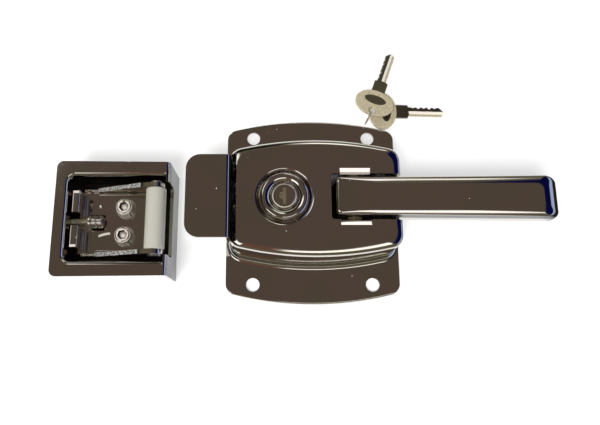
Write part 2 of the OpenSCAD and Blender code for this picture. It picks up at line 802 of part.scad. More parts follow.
// Side view of a carriage cheek, rising to the round seat of the axle
module cheek_profile() {
    seat_r = 5;
    toe_x = tab_x0 + 11;
    toe_h = 2.5;
    rise_x = -roller_dx - 9;
    translate([-roller_dx, roller_z]) circle(r = seat_r);
    polygon([[toe_x, carriage_z], [toe_x, carriage_top + toe_h], [rise_x, roller_z + seat_r - 2],
             [-roller_dx, roller_z + seat_r], [-roller_dx, roller_z], [seat_r - roller_dx, roller_z],
             [base_x1, strike_h - notch_depth + notch_r], [base_x1, carriage_z]]);
}

module roller_carriage() {
    tab_y0 = 4;
    tab_y1 = 17;
    tab_h = 13.5;
    slot_d = clamp_d + 0.6;
    slot_half = adjust_travel + 0.2;
    window_hy = adjust_washer_d / 2 + 0.5;
    color(chrome) at_strike() difference() {
        union() {
            translate([tab_x0, -cheek_y1 + 2, carriage_z])
                cube([base_x1 - tab_x0, 2 * cheek_y1 - 4, carriage_t]);
            both_sides() {
                translate([tab_x0, tab_y0, carriage_z])
                    cube([carriage_t, tab_y1 - tab_y0, carriage_t + tab_h]);
                along_y(cheek_y0, cheek_y1) cheek_profile();
            }
        }
        for (s = [-1, 1]) {
            for (e = [-1, 1])
                translate([e * slot_half - clamp_dx, s * clamp_dy / 2, carriage_z - over])
                    cylinder(d = slot_d, h = carriage_t + 2 * over);
            translate([-slot_half - clamp_dx, s * clamp_dy / 2 - slot_d / 2, carriage_z - over])
                cube([2 * slot_half, slot_d, carriage_t + 2 * over]);
        }
        translate([adjust_x - slide, -window_hy, carriage_z - over])
            cube([adjust_washer_t + adjust_head + 2 * slide, 2 * window_hy, carriage_t + 2 * over]);
        rod_y(-roller_dx, roller_z, axle_d + 2 * fit, -cheek_y1 - over, cheek_y1 + over);
    }
}

module roller() {
    edge = 0.8;
    h = roller_len / 2;
    color(nylon) at_strike() translate([-roller_dx, 0, roller_z]) rotate([90, 0, 0]) rotate_extrude()
        polygon([[axle_d / 2 + run, -h], [roller_d / 2 - edge, -h], [roller_d / 2, edge - h],
                 [roller_d / 2, h - edge], [roller_d / 2 - edge, h], [axle_d / 2 + run, h]]);
}

// Axle with a riveted head outside each cheek
module roller_axle() {
    rivet_h = 1.2;
    color(zinc) at_strike() {
        rod_y(-roller_dx, roller_z, axle_d, -cheek_y1 - rivet_h, cheek_y1 + rivet_h);
        both_sides() rod_y(-roller_dx, roller_z, axle_d + 1.6, cheek_y1, cheek_y1 + rivet_h);
    }
}

// One piece at each clamp screw
module at_clamps(z) {
    at_strike() for (s = [-1, 1])
        translate([-clamp_dx, s * clamp_dy / 2, z]) children();
}

module clamp_screws() {
    socket_af = 5;
    socket_depth = 3.2;
    color(zinc) at_clamps(clamp_seat + washer_t) difference() {
        union() {
            cylinder(d = head_d, h = head_h);
            translate([0, 0, -clamp_len]) cylinder(d = clamp_d, h = clamp_len);
        }
        translate([0, 0, head_h - socket_depth])
            cylinder(d = socket_af / cos(30), h = socket_depth + over, $fn = 6);
    }
}

// Split spring washers under the screw heads
module clamp_washers() {
    color(zinc) at_clamps(clamp_seat) difference() {
        cylinder(d = washer_d, h = washer_t);
        translate([0, 0, -over]) cylinder(d = clamp_d + 0.2, h = washer_t + 2 * over);
        rotate([0, 0, -50]) translate([0, -0.4, -over]) cube([washer_d, 0.8, washer_t + 2 * over]);
    }
}

module clamp_nuts() {
    clamp_nut_af = 10;
    clamp_nut_h = 5;
    color(zinc) at_clamps(pan_z - strike_sheet - clamp_nut_h) difference() {
        cylinder(d = clamp_nut_af / cos(30), h = clamp_nut_h, $fn = 6);
        translate([0, 0, -over]) cylinder(d = clamp_d + 2 * fit, h = clamp_nut_h + 2 * over);
    }
}

adjuster_nut_h = 4;
adjuster_tail = 3;

module adjusting_screw() {
    socket_af = 4;
    head_x = adjust_x + adjust_washer_t;
    tip_x = pan_x0 - strike_sheet - adjuster_nut_h - adjuster_tail;
    color(zinc) at_strike() difference() {
        union() {
            rod_x(0, adjust_z, adjust_head_d, head_x, head_x + adjust_head);
            rod_x(0, adjust_z, adjust_d, tip_x, head_x);
        }
        translate([head_x + adjust_head - 2.6, 0, adjust_z]) rotate([0, 90, 0])
            cylinder(d = socket_af / cos(30), h = 2.6 + over, $fn = 6);
    }
}

module adjuster_washer() {
    color(zinc) at_strike() difference() {
        rod_x(0, adjust_z, adjust_washer_d, adjust_x, adjust_x + adjust_washer_t);
        rod_x(0, adjust_z, adjust_d + 2 * fit, adjust_x - over, adjust_x + adjust_washer_t + over);
    }
}

// Nut welded to the outside of the closed end of the pan
module adjuster_nut() {
    nut_af = 8;
    x1 = pan_x0 - strike_sheet;
    color(zinc) at_strike() difference() {
        translate([x1 - adjuster_nut_h, 0, adjust_z]) rotate([0, 90, 0])
            cylinder(d = nut_af / cos(30), h = adjuster_nut_h, $fn = 6);
        rod_x(0, adjust_z, adjust_d + 2 * run, x1 - adjuster_nut_h - over, x1 + over);
    }
}

// Plan of a key, its bow at the origin and its blade along X
module key_plan(cuts) {
    neck_w = 9;
    neck_x = bow_w / 2 + 5;
    tip = 1.6;
    difference() {
        union() {
            polygon([for (i = [0:47]) let (a = 360 * i / 48) [bow_w / 2 * cos(a), bow_len / 2 * sin(a)]]);
            translate([0, -neck_w / 2]) square([neck_x, neck_w]);
            polygon([[0, -blade_w / 2], [key_reach - tip, -blade_w / 2], [key_reach, 0.2 - blade_w / 4],
                     [key_reach - tip - 1, blade_w / 2], [0, blade_w / 2]]);
        }
        translate([-key_hole_dx, 0]) circle(d = key_hole_d);
        for (i = [0:len(cuts) - 1]) {
            x = neck_x + 4 + 4.4 * i;
            polygon([[x - 1.7, blade_w / 2 + over], [x - 0.5, blade_w / 2 - cuts[i]],
                     [x + 0.5, blade_w / 2 - cuts[i]], [x + 1.7, blade_w / 2 + over]]);
        }
    }
}

// Key blank with a milled groove along both faces of the blade and a sunk oval in the bow
module key(cuts) {
    mill = 0.5;
    sink = 0.3;
    difference() {
        linear_extrude(key_t) key_plan(cuts);
        for (z = [-over, key_t - mill])
            translate([bow_w / 2 + 6, -blade_w / 2 + 1, z]) cube([key_reach, 1.5, mill + over]);
        for (z = [-over, key_t - sink])
            translate([1.6, 0, z]) linear_extrude(sink + over)
                polygon([for (i = [0:31]) let (a = 360 * i / 32) [3.3 * cos(a), 7.4 * sin(a)]]);
    }
}

module key_a() {
    color(nickel) translate(key_a_at) rotate([0, 0, key_a_turn]) rotate([0, asin(key_a_z / key_reach), 0])
        key([1.0, 1.7, 0.7, 1.4, 1.0]);
}

module key_b() {
    color(nickel) translate(key_b_at) rotate([0, asin(key_b_z / key_reach), 0])
        key([0.7, 1.4, 1.0, 1.7, 1.0]);
}

// Wire ring that stands through the holes of both keys
module key_ring() {
    hole_a = [key_a_at[0] - key_hole_dx * cos(key_a_turn), key_a_at[1] - key_hole_dx * sin(key_a_turn)];
    hole_b = [key_b_at[0] - key_hole_dx, key_b_at[1]];
    out = [-0.5, -0.866];
    inset = 0.6;
    mid = (hole_a + hole_b) / 2 + out * (ring_r - inset);
    color(zinc) translate([mid[0], mid[1], ring_r + ring_wire / 2])
        rotate([0, 0, atan2(out[1], out[0])]) rotate([90, 0, 0])
            rotate_extrude() translate([ring_r, 0]) circle(d = ring_wire, $fn = 16);
}

case();
pin_bracket();
handle();
handle_pin();
handle_washers();
handle_pin_clips();
tongue();
tongue_pin();
tongue_pin_clips();
tongue_spring();
lock_cylinder();
lock_bezel();
lock_nut();
lock_plug();
lock_cam();
cam_screw();
strike_tray();
roller_carriage();
roller();
roller_axle();
clamp_screws();
clamp_washers();
clamp_nuts();
adjusting_screw();
adjuster_washer();
adjuster_nut();
key_a();
key_b();
key_ring();
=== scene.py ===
"""Looks of a cold room door latch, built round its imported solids."""
from contextlib import contextmanager
from math import asin, atan2, cos, pi, radians, sin, sqrt, tan
from types import SimpleNamespace

import bmesh
import bpy
from bpy.props import FloatProperty, FloatVectorProperty, PointerProperty
from mathutils import Matrix, Vector


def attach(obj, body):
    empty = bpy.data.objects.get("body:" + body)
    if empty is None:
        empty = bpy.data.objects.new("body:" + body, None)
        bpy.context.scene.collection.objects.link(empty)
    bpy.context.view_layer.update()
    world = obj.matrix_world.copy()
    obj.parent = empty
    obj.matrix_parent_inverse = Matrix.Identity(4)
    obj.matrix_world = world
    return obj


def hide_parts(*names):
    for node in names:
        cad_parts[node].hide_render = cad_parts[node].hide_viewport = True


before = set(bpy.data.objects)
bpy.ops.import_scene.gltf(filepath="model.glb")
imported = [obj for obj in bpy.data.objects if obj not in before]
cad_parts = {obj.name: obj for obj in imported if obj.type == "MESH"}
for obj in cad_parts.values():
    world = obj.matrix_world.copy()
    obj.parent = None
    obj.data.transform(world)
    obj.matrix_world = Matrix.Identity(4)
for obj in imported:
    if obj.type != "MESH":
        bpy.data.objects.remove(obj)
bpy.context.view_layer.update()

bl_info = {
    "name": "Cold room door latch",
    "version": (1, 0, 0),
    "blender": (4, 5, 0),
    "location": "3D View > Sidebar > Latch",
    "description": "Builds the looks of a cold room door latch round its packed solids",
    "category": "Object",
}

MM = 0.001
MERGE = 1e-7            # metres within which new points become one
WELD = 2e-6             # metres within which the points of a cut piece become one
LEVEL = radians(0.05)   # largest angle between faces that count as one plane
OVER = 2.0              # how far a cutting tool stands past the face that it cuts
CREASE = radians(16)    # smallest angle at which an edge stays crisp
TIP = radians(25)       # tilt at which a gentle round turns into a tight one
CORNER_STEPS = 14
BOW_STEPS = 48
ROUND_STEPS = 12
EDGE_STEPS = 36
LATHE_STEPS = 112
QUARTER = [pi / 2 * i / ROUND_STEPS for i in range(ROUND_STEPS + 1)]
BOTH = (-1, 1)


def length(label, words, value):
    """A size that is shown in Blender's own length unit and given here in millimetres."""
    return FloatProperty(name=label, description=words, default=value * MM, unit="LENGTH", precision=5)


def tint(label, words, rgb):
    """A colour that a user may change."""
    return FloatVectorProperty(name=label, description=words, subtype="COLOR", size=3,
                               min=0.0, max=4.0, default=rgb)


class LatchCaseSizes(bpy.types.PropertyGroup):
    """Sizes of the pressed case."""
    width: length("Flange width", "Width of the case flange", 110)
    height: length("Flange height", "Height of the case flange at its middle", 121.6)
    bow: length("Flange bow", "Radius of the bowed flange edges", 210)
    corner: length("Flange corner", "Radius of the flange corners", 7)
    sheet: length("Sheet", "Thickness of the pressed sheet", 2.2)
    rolled: length("Rolled edge", "Rounding along the upper edge of the flange", 1.3)
    dome_h: length("Dome height", "Height of the dome above the back plane", 38)
    dome_w: length("Dome width", "Width of the dome at its walls", 104)
    dome_span: length("Dome span", "Height of the dome walls at their middle", 72.8)
    dome_bow: length("Dome bow", "Radius of the bowed dome walls", 200)
    dome_corner: length("Dome corner", "Plan radius of the dome corners", 9)
    dome_crown: length("Dome crown", "Radius of the gentle round inside the top edge of the dome", 9.5)
    dome_edge: length("Dome edge", "Radius of the tight round along the top edge of the dome", 3.2)
    dome_lean: length("Dome lean", "How far the top of the dome stands towards its upper edge", 1.2)
    dome_ease: length("Dome corner ease", "Radius that the plan corners gain towards the top of the dome", 8)
    dome_foot: length("Dome foot", "Radius of the fillet at the foot of the dome", 3.7)
    draft: length("Draft", "Draft of the dome walls over their height", 0.8)
    hole_dx: length("Hole spacing X", "Spacing of the fixing holes across the case", 75.5)
    hole_dy: length("Hole spacing Y", "Spacing of the fixing holes up the case", 97)
    hole_d: length("Hole", "Diameter of the fixing holes", 8.5)
    slot_x: length("Slot start", "Left edge of the handle slot", 9.2)
    slot_w: length("Slot width", "Width of the handle slot", 27.8)
    slot_sill: length("Slot sill", "Height of the sill of the handle slot", 24.6)
    lip_len: length("Lip length", "Length of the rolled pivot lips", 18)
    lip_r: length("Lip radius", "Radius of the rolled pivot lips", 3.3)
    opening_x: length("Opening edge", "Distance of the edge of the tongue opening from the middle", 46.8)
    opening_w: length("Opening width", "Width of the tongue opening", 53)
    opening_sill: length("Opening sill", "Height of the sill of the tongue opening", 14)
    dish_d: length("Dish", "Diameter of the dish round the lock", 31.6)
    dish_rim: length("Dish rim", "Radius round the rim of the dish", 2.1)


class LatchLeverSizes(bpy.types.PropertyGroup):
    """Sizes of the handle and the tongue."""
    handle_len: length("Handle length", "Length of the handle", 133)
    handle_w: length("Handle width", "Width of the handle at its pivot end", 22.4)
    handle_end_w: length("Handle end width", "Width of the handle at its free end", 24.6)
    handle_depth: length("Handle depth", "Depth of the handle", 16)
    handle_edge: length("Handle edge", "Radius of the tight round along the top edges of the handle", 1.2)
    handle_crown: length("Handle crown", "Radius of the gentle round inside the top edges of the handle", 12)
    handle_drop: length("Handle end", "Radius of the drop at the free end of the handle", 12)
    handle_wall: length("Handle wall", "Wall of the handle", 2)
    tongue_w: length("Tongue width", "Width of the tongue", 50)
    tongue_t: length("Tongue sheet", "Thickness of the tongue plate", 2.6)
    tongue_corner: length("Tongue corner", "Radius of the free corners of the tongue", 8.5)
    tongue_bend: length("Tongue bend", "Radius of the bend of the tongue", 3.5)
    hook_w: length("Hook width", "Width of the hook under the tongue", 36)


class LatchStrikeSizes(bpy.types.PropertyGroup):
    """Sizes of the strike."""
    long: length("Strike length", "Length of the strike along the door", 67.4)
    wide: length("Strike width", "Width of the strike", 69.2)
    high: length("Strike height", "Height of the strike", 36)
    sheet: length("Strike sheet", "Thickness of the strike sheet", 2)
    brim_end: length("End brim", "Width of the brim at the closed end", 7.1)
    brim_side: length("Side brim", "Width of the brim along both sides", 9.1)
    pan_depth: length("Pan depth", "Depth of the pan below the brim", 19.1)
    pan_rim: length("Pan rim", "Radius round the inner edge of the brim", 2.5)
    notch_w: length("Notch width", "Width of the notch in the front panel", 43.6)
    notch_depth: length("Notch depth", "Depth of the notch below the brim", 17)
    plate: length("Carriage sheet", "Thickness of the roller carriage", 2.5)
    roller_d: length("Roller", "Diameter of the roller", 12)
    roller_len: length("Roller length", "Length of the roller", 37)
    clamp_dx: length("Clamp screws", "Distance of the clamp screws from the front panel", 28.6)
    clamp_dy: length("Clamp spacing", "Spacing of the clamp screws", 17.3)


class LatchKeySizes(bpy.types.PropertyGroup):
    """Sizes of the keys and their ring."""
    bow_len: length("Bow length", "Length of the key bow across the blade", 25.6)
    bow_w: length("Bow width", "Width of the key bow along the blade", 18.8)
    reach: length("Reach", "Distance from the bow centre to the key tip", 42)
    thick: length("Thickness", "Thickness of the keys", 2)
    blade_w: length("Blade width", "Width of the key blade", 6)
    wire: length("Ring wire", "Wire diameter of the key ring", 1)


class LatchFinish(bpy.types.PropertyGroup):
    """Colours and wear of the finishes."""
    chrome: tint("Chrome", "Colour of the chrome plate", (0.66, 0.64, 0.62))
    zinc: tint("Zinc", "Colour of the zinc plated small parts", (0.82, 0.81, 0.76))
    # Painted shade: this near black darkens faces inside the case and the pan, the screw sockets and other
    # faces that lie in shade.
    painted_shade: tint("Inner steel", "Colour of the dull steel inside the case and the pan", (0.05, 0.047, 0.043))
    nickel: tint("Nickel", "Colour of the nickel plated keys", (0.76, 0.67, 0.46))
    brass: tint("Brass", "Colour of the bare brass in the keyway", (0.86, 0.81, 0.62))
    nylon: tint("Nylon", "Colour of the roller", (0.43, 0.42, 0.37))
    specks: FloatProperty(name="Specks", description="Share of the surface with dust and pits",
                          default=0.5, min=0.0, max=1.0, subtype="FACTOR")
    scratches: FloatProperty(name="Scratches", description="Strength of the fine scratches",
                             default=0.5, min=0.0, max=1.0, subtype="FACTOR")


class LatchStage(bpy.types.PropertyGroup):
    """Camera, floor and light."""
    lens: FloatProperty(name="Lens", description="Focal length in millimetres", default=34.2)
    tilt: FloatProperty(name="Tilt", description="Tilt of the camera from straight down",
                        default=radians(12.7), subtype="ANGLE")
    shift: FloatProperty(name="Shift", description="Sideways shift of the frame", default=0.05)
    stand: FloatVectorProperty(name="Stand", description="Place of the camera", subtype="TRANSLATION",
                               size=3, default=(-0.0269, -0.08296, 0.3623))
    floor: tint("Floor", "Colour of the floor", (0.97, 0.97, 0.97))
    wall: tint("Wall", "Colour of the dim walls of the room", (0.135, 0.118, 0.078))
    ceiling: tint("Ceiling", "Colour overhead that the flat chrome mirrors", (0.104, 0.078, 0.061))
    lamp_w: FloatProperty(name="Lamp power", description="Power of each soft lamp in watts", default=7.5)


def in_mm(group):
    """The lengths of a property group, in millimetres."""
    return SimpleNamespace(**{k: getattr(group, k) / MM for k in group.__annotations__})


# Outlines, as lists of points in millimetres

def arc(cx, cy, r, start, end, steps):
    turns = [radians(start + (end - start) * i / steps) for i in range(steps + 1)]
    return [(cx + r * cos(a), cy + r * sin(a)) for a in turns]


def bowed_outline(hx, hy, bow, corner):
    """Straight sides, bowed upper and lower edges and round corners."""
    oy, cx = hy - bow, hx - corner
    cy = oy + sqrt((bow - corner) ** 2 - cx * cx)
    a = atan2(cy - oy, cx) * 180 / pi
    return (arc(cx, cy, corner, 0, a, CORNER_STEPS)
            + arc(0, oy, bow, a, 180 - a, BOW_STEPS)[1:-1]
            + arc(-cx, cy, corner, 180 - a, 180, CORNER_STEPS)
            + arc(-cx, -cy, corner, 180, 180 + a, CORNER_STEPS)
            + arc(0, -oy, bow, 180 + a, 360 - a, BOW_STEPS)[1:-1]
            + arc(cx, -cy, corner, 360 - a, 360, CORNER_STEPS))


def bar_outline(x0, x1, h0, h1, r0, r1, steps=CORNER_STEPS):
    """A bar from x0 to x1 with its own half width and corner radius at each end."""
    return (arc(x1 - r1, h1 - r1, r1, 0, 90, steps) + arc(x0 + r0, h0 - r0, r0, 90, 180, steps)
            + arc(x0 + r0, r0 - h0, r0, 180, 270, steps) + arc(x1 - r1, r1 - h1, r1, 270, 360, steps))


def round_over(turn, crown, edge):
    """Inset and drop of a round edge at a tilt of its surface: gentle up to TIP and tight beyond it."""
    if turn < TIP:
        return crown * (sin(TIP) - sin(turn)) + edge * (1 - sin(TIP)), crown * (1 - cos(turn))
    return edge * (1 - sin(turn)), crown * (1 - cos(TIP)) + edge * (cos(TIP) - cos(turn))


def round_turns(steps):
    """Tilts from an upright wall to a level top."""
    return [pi / 2 * (1 - i / steps) for i in range(steps + 1)]


def gate(half_w, sill, half_h, r):
    """An opening in an upright sheet, as a round cornered outline that stands on its sill."""
    return [(y, z + sill + half_h) for y, z in bar_outline(-half_w, half_w, half_h, half_h, r, r)]


def hexagon(cx, cy, r, turn=0.0):
    return [(cx + r * cos(a), cy + r * sin(a)) for a in (pi / 3 * i + turn for i in range(6))]


def ellipse(cx, cy, rx, ry, steps=72):
    return [(cx + rx * cos(2 * pi * i / steps), cy + ry * sin(2 * pi * i / steps)) for i in range(steps)]


# Meshes, from points in millimetres

@contextmanager
def edited(mesh):
    """Opens a mesh for changes and writes them back."""
    bm = bmesh.new()
    bm.from_mesh(mesh)
    yield bm
    bm.to_mesh(mesh)
    bm.free()


def new_piece(name, verts, edges, faces):
    mesh = bpy.data.meshes.new(name)
    mesh.from_pydata([tuple(c * MM for c in v) for v in verts], edges, faces)
    piece = bpy.data.objects.new(name, mesh)
    bpy.context.collection.objects.link(piece)
    return piece


def mesh_piece(name, verts, faces):
    piece = new_piece(name, verts, [], faces)
    with edited(piece.data) as bm:
        bmesh.ops.remove_doubles(bm, verts=bm.verts, dist=MERGE)
        bmesh.ops.recalc_face_normals(bm, faces=bm.faces)
    return piece


def stack(name, levels):
    """A closed solid through a stack of like outlines, each given as (z, points)."""
    n = len(levels[0][1])
    verts = [(x, y, z) for z, ring in levels for x, y in ring]
    faces = [tuple(reversed(range(n))), tuple(range(len(verts) - n, len(verts)))]
    for low in range(0, len(verts) - n, n):
        for i in range(n):
            j = (i + 1) % n
            faces.append((low + i, low + j, low + n + j, low + n + i))
    return mesh_piece(name, verts, faces)


TURNED = {"x": lambda a, b, c: (c, a, b), "y": lambda a, b, c: (a, c, b), "z": lambda a, b, c: (a, b, c)}


def prism(name, points, axis, low, high):
    """A flat outline drawn out along an axis; on x it lies in Y and Z, on y in X and Z."""
    n, place = len(points), TURNED[axis]
    verts = [place(a, b, low) for a, b in points] + [place(a, b, high) for a, b in points]
    faces = [tuple(reversed(range(n))), tuple(range(n, 2 * n))]
    faces += [(i, (i + 1) % n, n + (i + 1) % n, n + i) for i in range(n)]
    return mesh_piece(name, verts, faces)


def block(name, x0, x1, y0, y1, z0, z1):
    return prism(name, [(x0, y0), (x1, y0), (x1, y1), (x0, y1)], "z", z0, z1)


def lathe(name, profile, centre=(0, 0, 0), axis="z", steps=LATHE_STEPS):
    """A closed profile of (radius, height) points turned about an axis."""
    n = len(profile)
    verts, faces = [], []
    for k in range(steps):
        a = 2 * pi * k / steps
        for r, h in profile:
            x, y, z = TURNED[axis](r * cos(a), r * sin(a), h)
            verts.append((x + centre[0], y + centre[1], z + centre[2]))
    for k in range(steps):
        a, b = k * n, (k + 1) % steps * n
        faces += [(a + i, b + i, b + (i + 1) % n, a + (i + 1) % n) for i in range(n)]
    return mesh_piece(name, verts, faces)


def rod(name, d, centre, axis, low, high, steps=64):
    r = d / 2
    return lathe(name, [(0, low), (r, low), (r, high), (0, high)], centre, axis, steps)


def settle(piece):
    """Turns what the modifiers give into the piece's own mesh."""
    graph = bpy.context.evaluated_depsgraph_get()
    mesh = bpy.data.meshes.new_from_object(piece.evaluated_get(graph))
    old = piece.data
    piece.modifiers.clear()
    piece.data = mesh
    mesh.name = piece.name
    bpy.data.meshes.remove(old)
    return piece


def shape(piece, how, tools):
    """Cuts tools out of a piece, adds them to it or keeps what they share."""
    for tool in tools:
        change = piece.modifiers.new(how.lower(), "BOOLEAN")
        change.operation, change.solver, change.object = how, "EXACT", tool
    settle(piece)
    for tool in tools:
        mesh = tool.data
        bpy.data.objects.remove(tool)
        bpy.data.meshes.remove(mesh)
    return piece


def cut(piece, *tools):
    return shape(piece, "DIFFERENCE", tools)


def add(piece, *tools):
    return shape(piece, "UNION", tools)


def keep(piece, *tools):
    return shape(piece, "INTERSECT", tools)


def shift(piece, x, y, z):
    piece.data.transform(Matrix.Translation(Vector((x, y, z)) * MM))
    return piece


def flatten(piece):
    """Joins faces that lie in one plane, so that edges bevel cleanly."""
    with edited(piece.data) as bm:
        bmesh.ops.remove_doubles(bm, verts=bm.verts, dist=WELD)
        bmesh.ops.dissolve_limit(bm, angle_limit=LEVEL, verts=bm.verts, edges=bm.edges)
    return piece


def soften(piece, width, segments=3, angle=34):
    """Rounds the sharp edges, or keeps them crisp at no width, and shades the rest smooth."""
    if width:
        bevel = piece.modifiers.new("edges", "BEVEL")
        bevel.width, bevel.segments = width * MM, segments
        bevel.limit_method, bevel.angle_limit = "ANGLE", radians(angle)
        bevel.miter_outer = "MITER_ARC"
    rounded = radians(angle) if width else 2 * pi
    with edited(piece.data) as bm:
        for line in bm.edges:
            line.smooth = not CREASE < line.calc_face_angle(0.0) < rounded
    return smooth(piece)


def smooth(piece):
    for face in piece.data.polygons:
        face.use_smooth = True
    normals = piece.modifiers.new("normals", "WEIGHTED_NORMAL")
    normals.weight, normals.keep_sharp = 100, True
    return piece


def dress(piece, finish, body, slot, *nodes):
    """Gives a finished piece its material, its body and the nodes that it stands for; the slot is not used.
    """
    if piece.data.materials:
        piece.data.materials.clear()
    piece.data.materials.append(MATERIALS[finish])
    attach(piece, body)
    if nodes:
        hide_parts(*nodes)
    return piece


def paint(piece, finish, test):
    """Gives one more material to the faces that pass a test of their centre, in millimetres, and normal."""
    piece.data.materials.append(MATERIALS[finish])
    index = len(piece.data.materials) - 1
    for face in piece.data.polygons:
        if test(face.center / MM, face.normal):
            face.material_index = index
    return piece


# Shader node groups and materials

def add_node(tree, kind, inputs=(), **settings):
    """A node with its settings, its inputs linked from sockets or set to plain values."""
    node = tree.nodes.new(kind)
    for key, value in settings.items():
        setattr(node, key, value)
    for key, value in dict(inputs).items():
        if isinstance(value, bpy.types.NodeSocket):
            tree.links.new(value, node.inputs[key])
        else:
            node.inputs[key].default_value = value
    return node


def maths(tree, how, *values):
    return add_node(tree, "ShaderNodeMath", dict(enumerate(values)), operation=how).outputs[0]


def vectors(tree, how, *values):
    return add_node(tree, "ShaderNodeVectorMath", dict(enumerate(values)), operation=how).outputs[0]


def ranged(tree, value, low, high, start=0.0, end=1.0):
    return add_node(tree, "ShaderNodeMapRange",
                    {"Value": value, "From Min": start, "From Max": end,
                     "To Min": low, "To Max": high}).outputs[0]


def mixed(tree, factor, a, b):
    """A colour between two others."""
    return add_node(tree, "ShaderNodeMix", {0: factor, 6: a, 7: b}, data_type="RGBA").outputs[2]


def bumped(tree, height, strength, distance):
    return add_node(tree, "ShaderNodeBump",
                    {"Height": height, "Strength": strength, "Distance": distance}).outputs[0]


def noise(tree, place, scale, detail, **more):
    return add_node(tree, "ShaderNodeTexNoise",
                    {"Vector": place, "Scale": scale, "Detail": detail, **more}).outputs["Fac"]


def new_tree(name, kind, inputs, outputs):
    """A node tree with named sockets, each input given as (type, default)."""
    tree = bpy.data.node_groups.new(name, kind)
    for label, (socket_type, default) in inputs.items():
        socket = tree.interface.new_socket(label, in_out="INPUT", socket_type="NodeSocket" + socket_type)
        if default is not None:
            socket.default_value = default
    for label, socket_type in outputs.items():
        tree.interface.new_socket(label, in_out="OUTPUT", socket_type="NodeSocket" + socket_type)
    return tree, tree.nodes.new("NodeGroupInput").outputs, tree.nodes.new("NodeGroupOutput").inputs


def shader_group(name, inputs, *outputs):
    """A shader node group that takes a place and gives values over the surface."""
    return new_tree(name, "ShaderNodeTree", {"Vector": ("Vector", None),
                                             **{k: ("Float", v) for k, v in inputs.items()}},
                    {label: "Float" for label in outputs})


def specks_group():
    """Sparse dust and plating pits: a mask of small round spots of mixed size."""
    tree, given, out = shader_group("dust_specks", {"Scale": 400.0, "Amount": 0.5}, "Mask")
    cells = add_node(tree, "ShaderNodeTexVoronoi",
                     {"Vector": given["Vector"], "Scale": given["Scale"]}).outputs
    chosen = add_node(tree, "ShaderNodeSeparateColor", {"Color": cells["Color"]}).outputs
    picked = maths(tree, "LESS_THAN", chosen[0], maths(tree, "MULTIPLY", given["Amount"], 0.7))
    inside = maths(tree, "LESS_THAN", cells["Distance"], ranged(tree, chosen[1], 0.02, 0.08))
    tree.links.new(maths(tree, "MULTIPLY", picked, inside), out["Mask"])
    return tree


def scratches_group():
    """Fine handling scratches: thin broken lines, and a slow unevenness of the surface."""
    tree, given, out = shader_group("fine_scratches", {"Scale": 60.0, "Turn": 0.6, "Amount": 0.5},
                                    "Lines", "Uneven")
    turned = add_node(tree, "ShaderNodeVectorRotate", {"Vector": given["Vector"], "Angle": given["Turn"]},
                      rotation_type="Z_AXIS").outputs[0]
    streaks = noise(tree, vectors(tree, "MULTIPLY", turned, (1.0, 26.0, 6.0)), given["Scale"], 3.0)
    thin = ranged(tree, streaks, 0.0, 1.0, 0.66, 0.74)
    tree.links.new(maths(tree, "MULTIPLY", thin, given["Amount"]), out["Lines"])
    tree.links.new(noise(tree, given["Vector"], given["Scale"], 2.0), out["Uneven"])
    return tree


def grain_group():
    """Grain of a cast or moulded face: mixed fine bumps with darker hollows."""
    tree, given, out = shader_group("cast_grain", {"Scale": 900.0}, "Height", "Hollows")
    fine = noise(tree, given["Vector"], given["Scale"], 4.0, Roughness=0.65)
    tree.links.new(fine, out["Height"])
    tree.links.new(ranged(tree, fine, 0.0, 1.0, 0.36, 0.58), out["Hollows"])
    return tree


GROUPS = {}


def group_node(tree, label, inputs):
    return add_node(tree, "ShaderNodeGroup", inputs, node_tree=GROUPS[label]).outputs


def blank_material(name):
    """A new material with its tree, its shader's inputs and the place on the object."""
    material = bpy.data.materials.new(name)
    material.use_nodes = True
    tree = material.node_tree
    place = tree.nodes.new("ShaderNodeTexCoord").outputs["Object"]
    return material, tree, tree.nodes["Principled BSDF"].inputs, place


def plated(name, rgb, rough, speck_scale, finish, uneven=0.008, rough_spread=0.05, metal=1.0):
    """Plated metal: mirror or matt, with specks, scratches, slow tints and a slightly wavy sheet."""
    material, tree, shader, place = blank_material(name)
    specks = group_node(tree, "dust_specks", {"Vector": place, "Scale": speck_scale, "Amount": finish.specks})
    marks = group_node(tree, "fine_scratches", {"Vector": place, "Amount": finish.scratches})
    tones = (1.02, 0.985, 0.985), (0.99, 1.0, 0.93)
    warm, cool = [(*(c * t for c, t in zip(rgb, tone)), 1) for tone in tones]
    toned = mixed(tree, ranged(tree, noise(tree, place, 34.0, 1.0), 0.0, 1.0, 0.42, 0.58), warm, cool)
    pale = (*[min(1.0, c * 0.4 + 0.55) for c in rgb], 1)
    tree.links.new(mixed(tree, specks["Mask"], toned, pale), shader["Base Color"])
    tree.links.new(ranged(tree, specks["Mask"], metal, 0.3), shader["Metallic"])
    worn = maths(tree, "MULTIPLY", marks["Lines"], 0.22)
    base = ranged(tree, marks["Uneven"], rough, rough + rough_spread, 0.3, 0.7)
    dusty = maths(tree, "MAXIMUM", maths(tree, "ADD", base, worn), specks["Mask"])
    tree.links.new(dusty, shader["Roughness"])
    tree.links.new(bumped(tree, marks["Uneven"], uneven, 0.001), shader["Normal"])
    return material


def grained(name, scale, rough_low, rough_high, strength, depth):
    """A material with a grainy face, and what its colours are made from."""
    material, tree, shader, place = blank_material(name)
    grain = group_node(tree, "cast_grain", {"Vector": place, "Scale": scale})
    tree.links.new(ranged(tree, grain["Height"], rough_low, rough_high), shader["Roughness"])
    tree.links.new(bumped(tree, grain["Height"], strength, depth), shader["Normal"])
    return material, tree, shader, place, grain


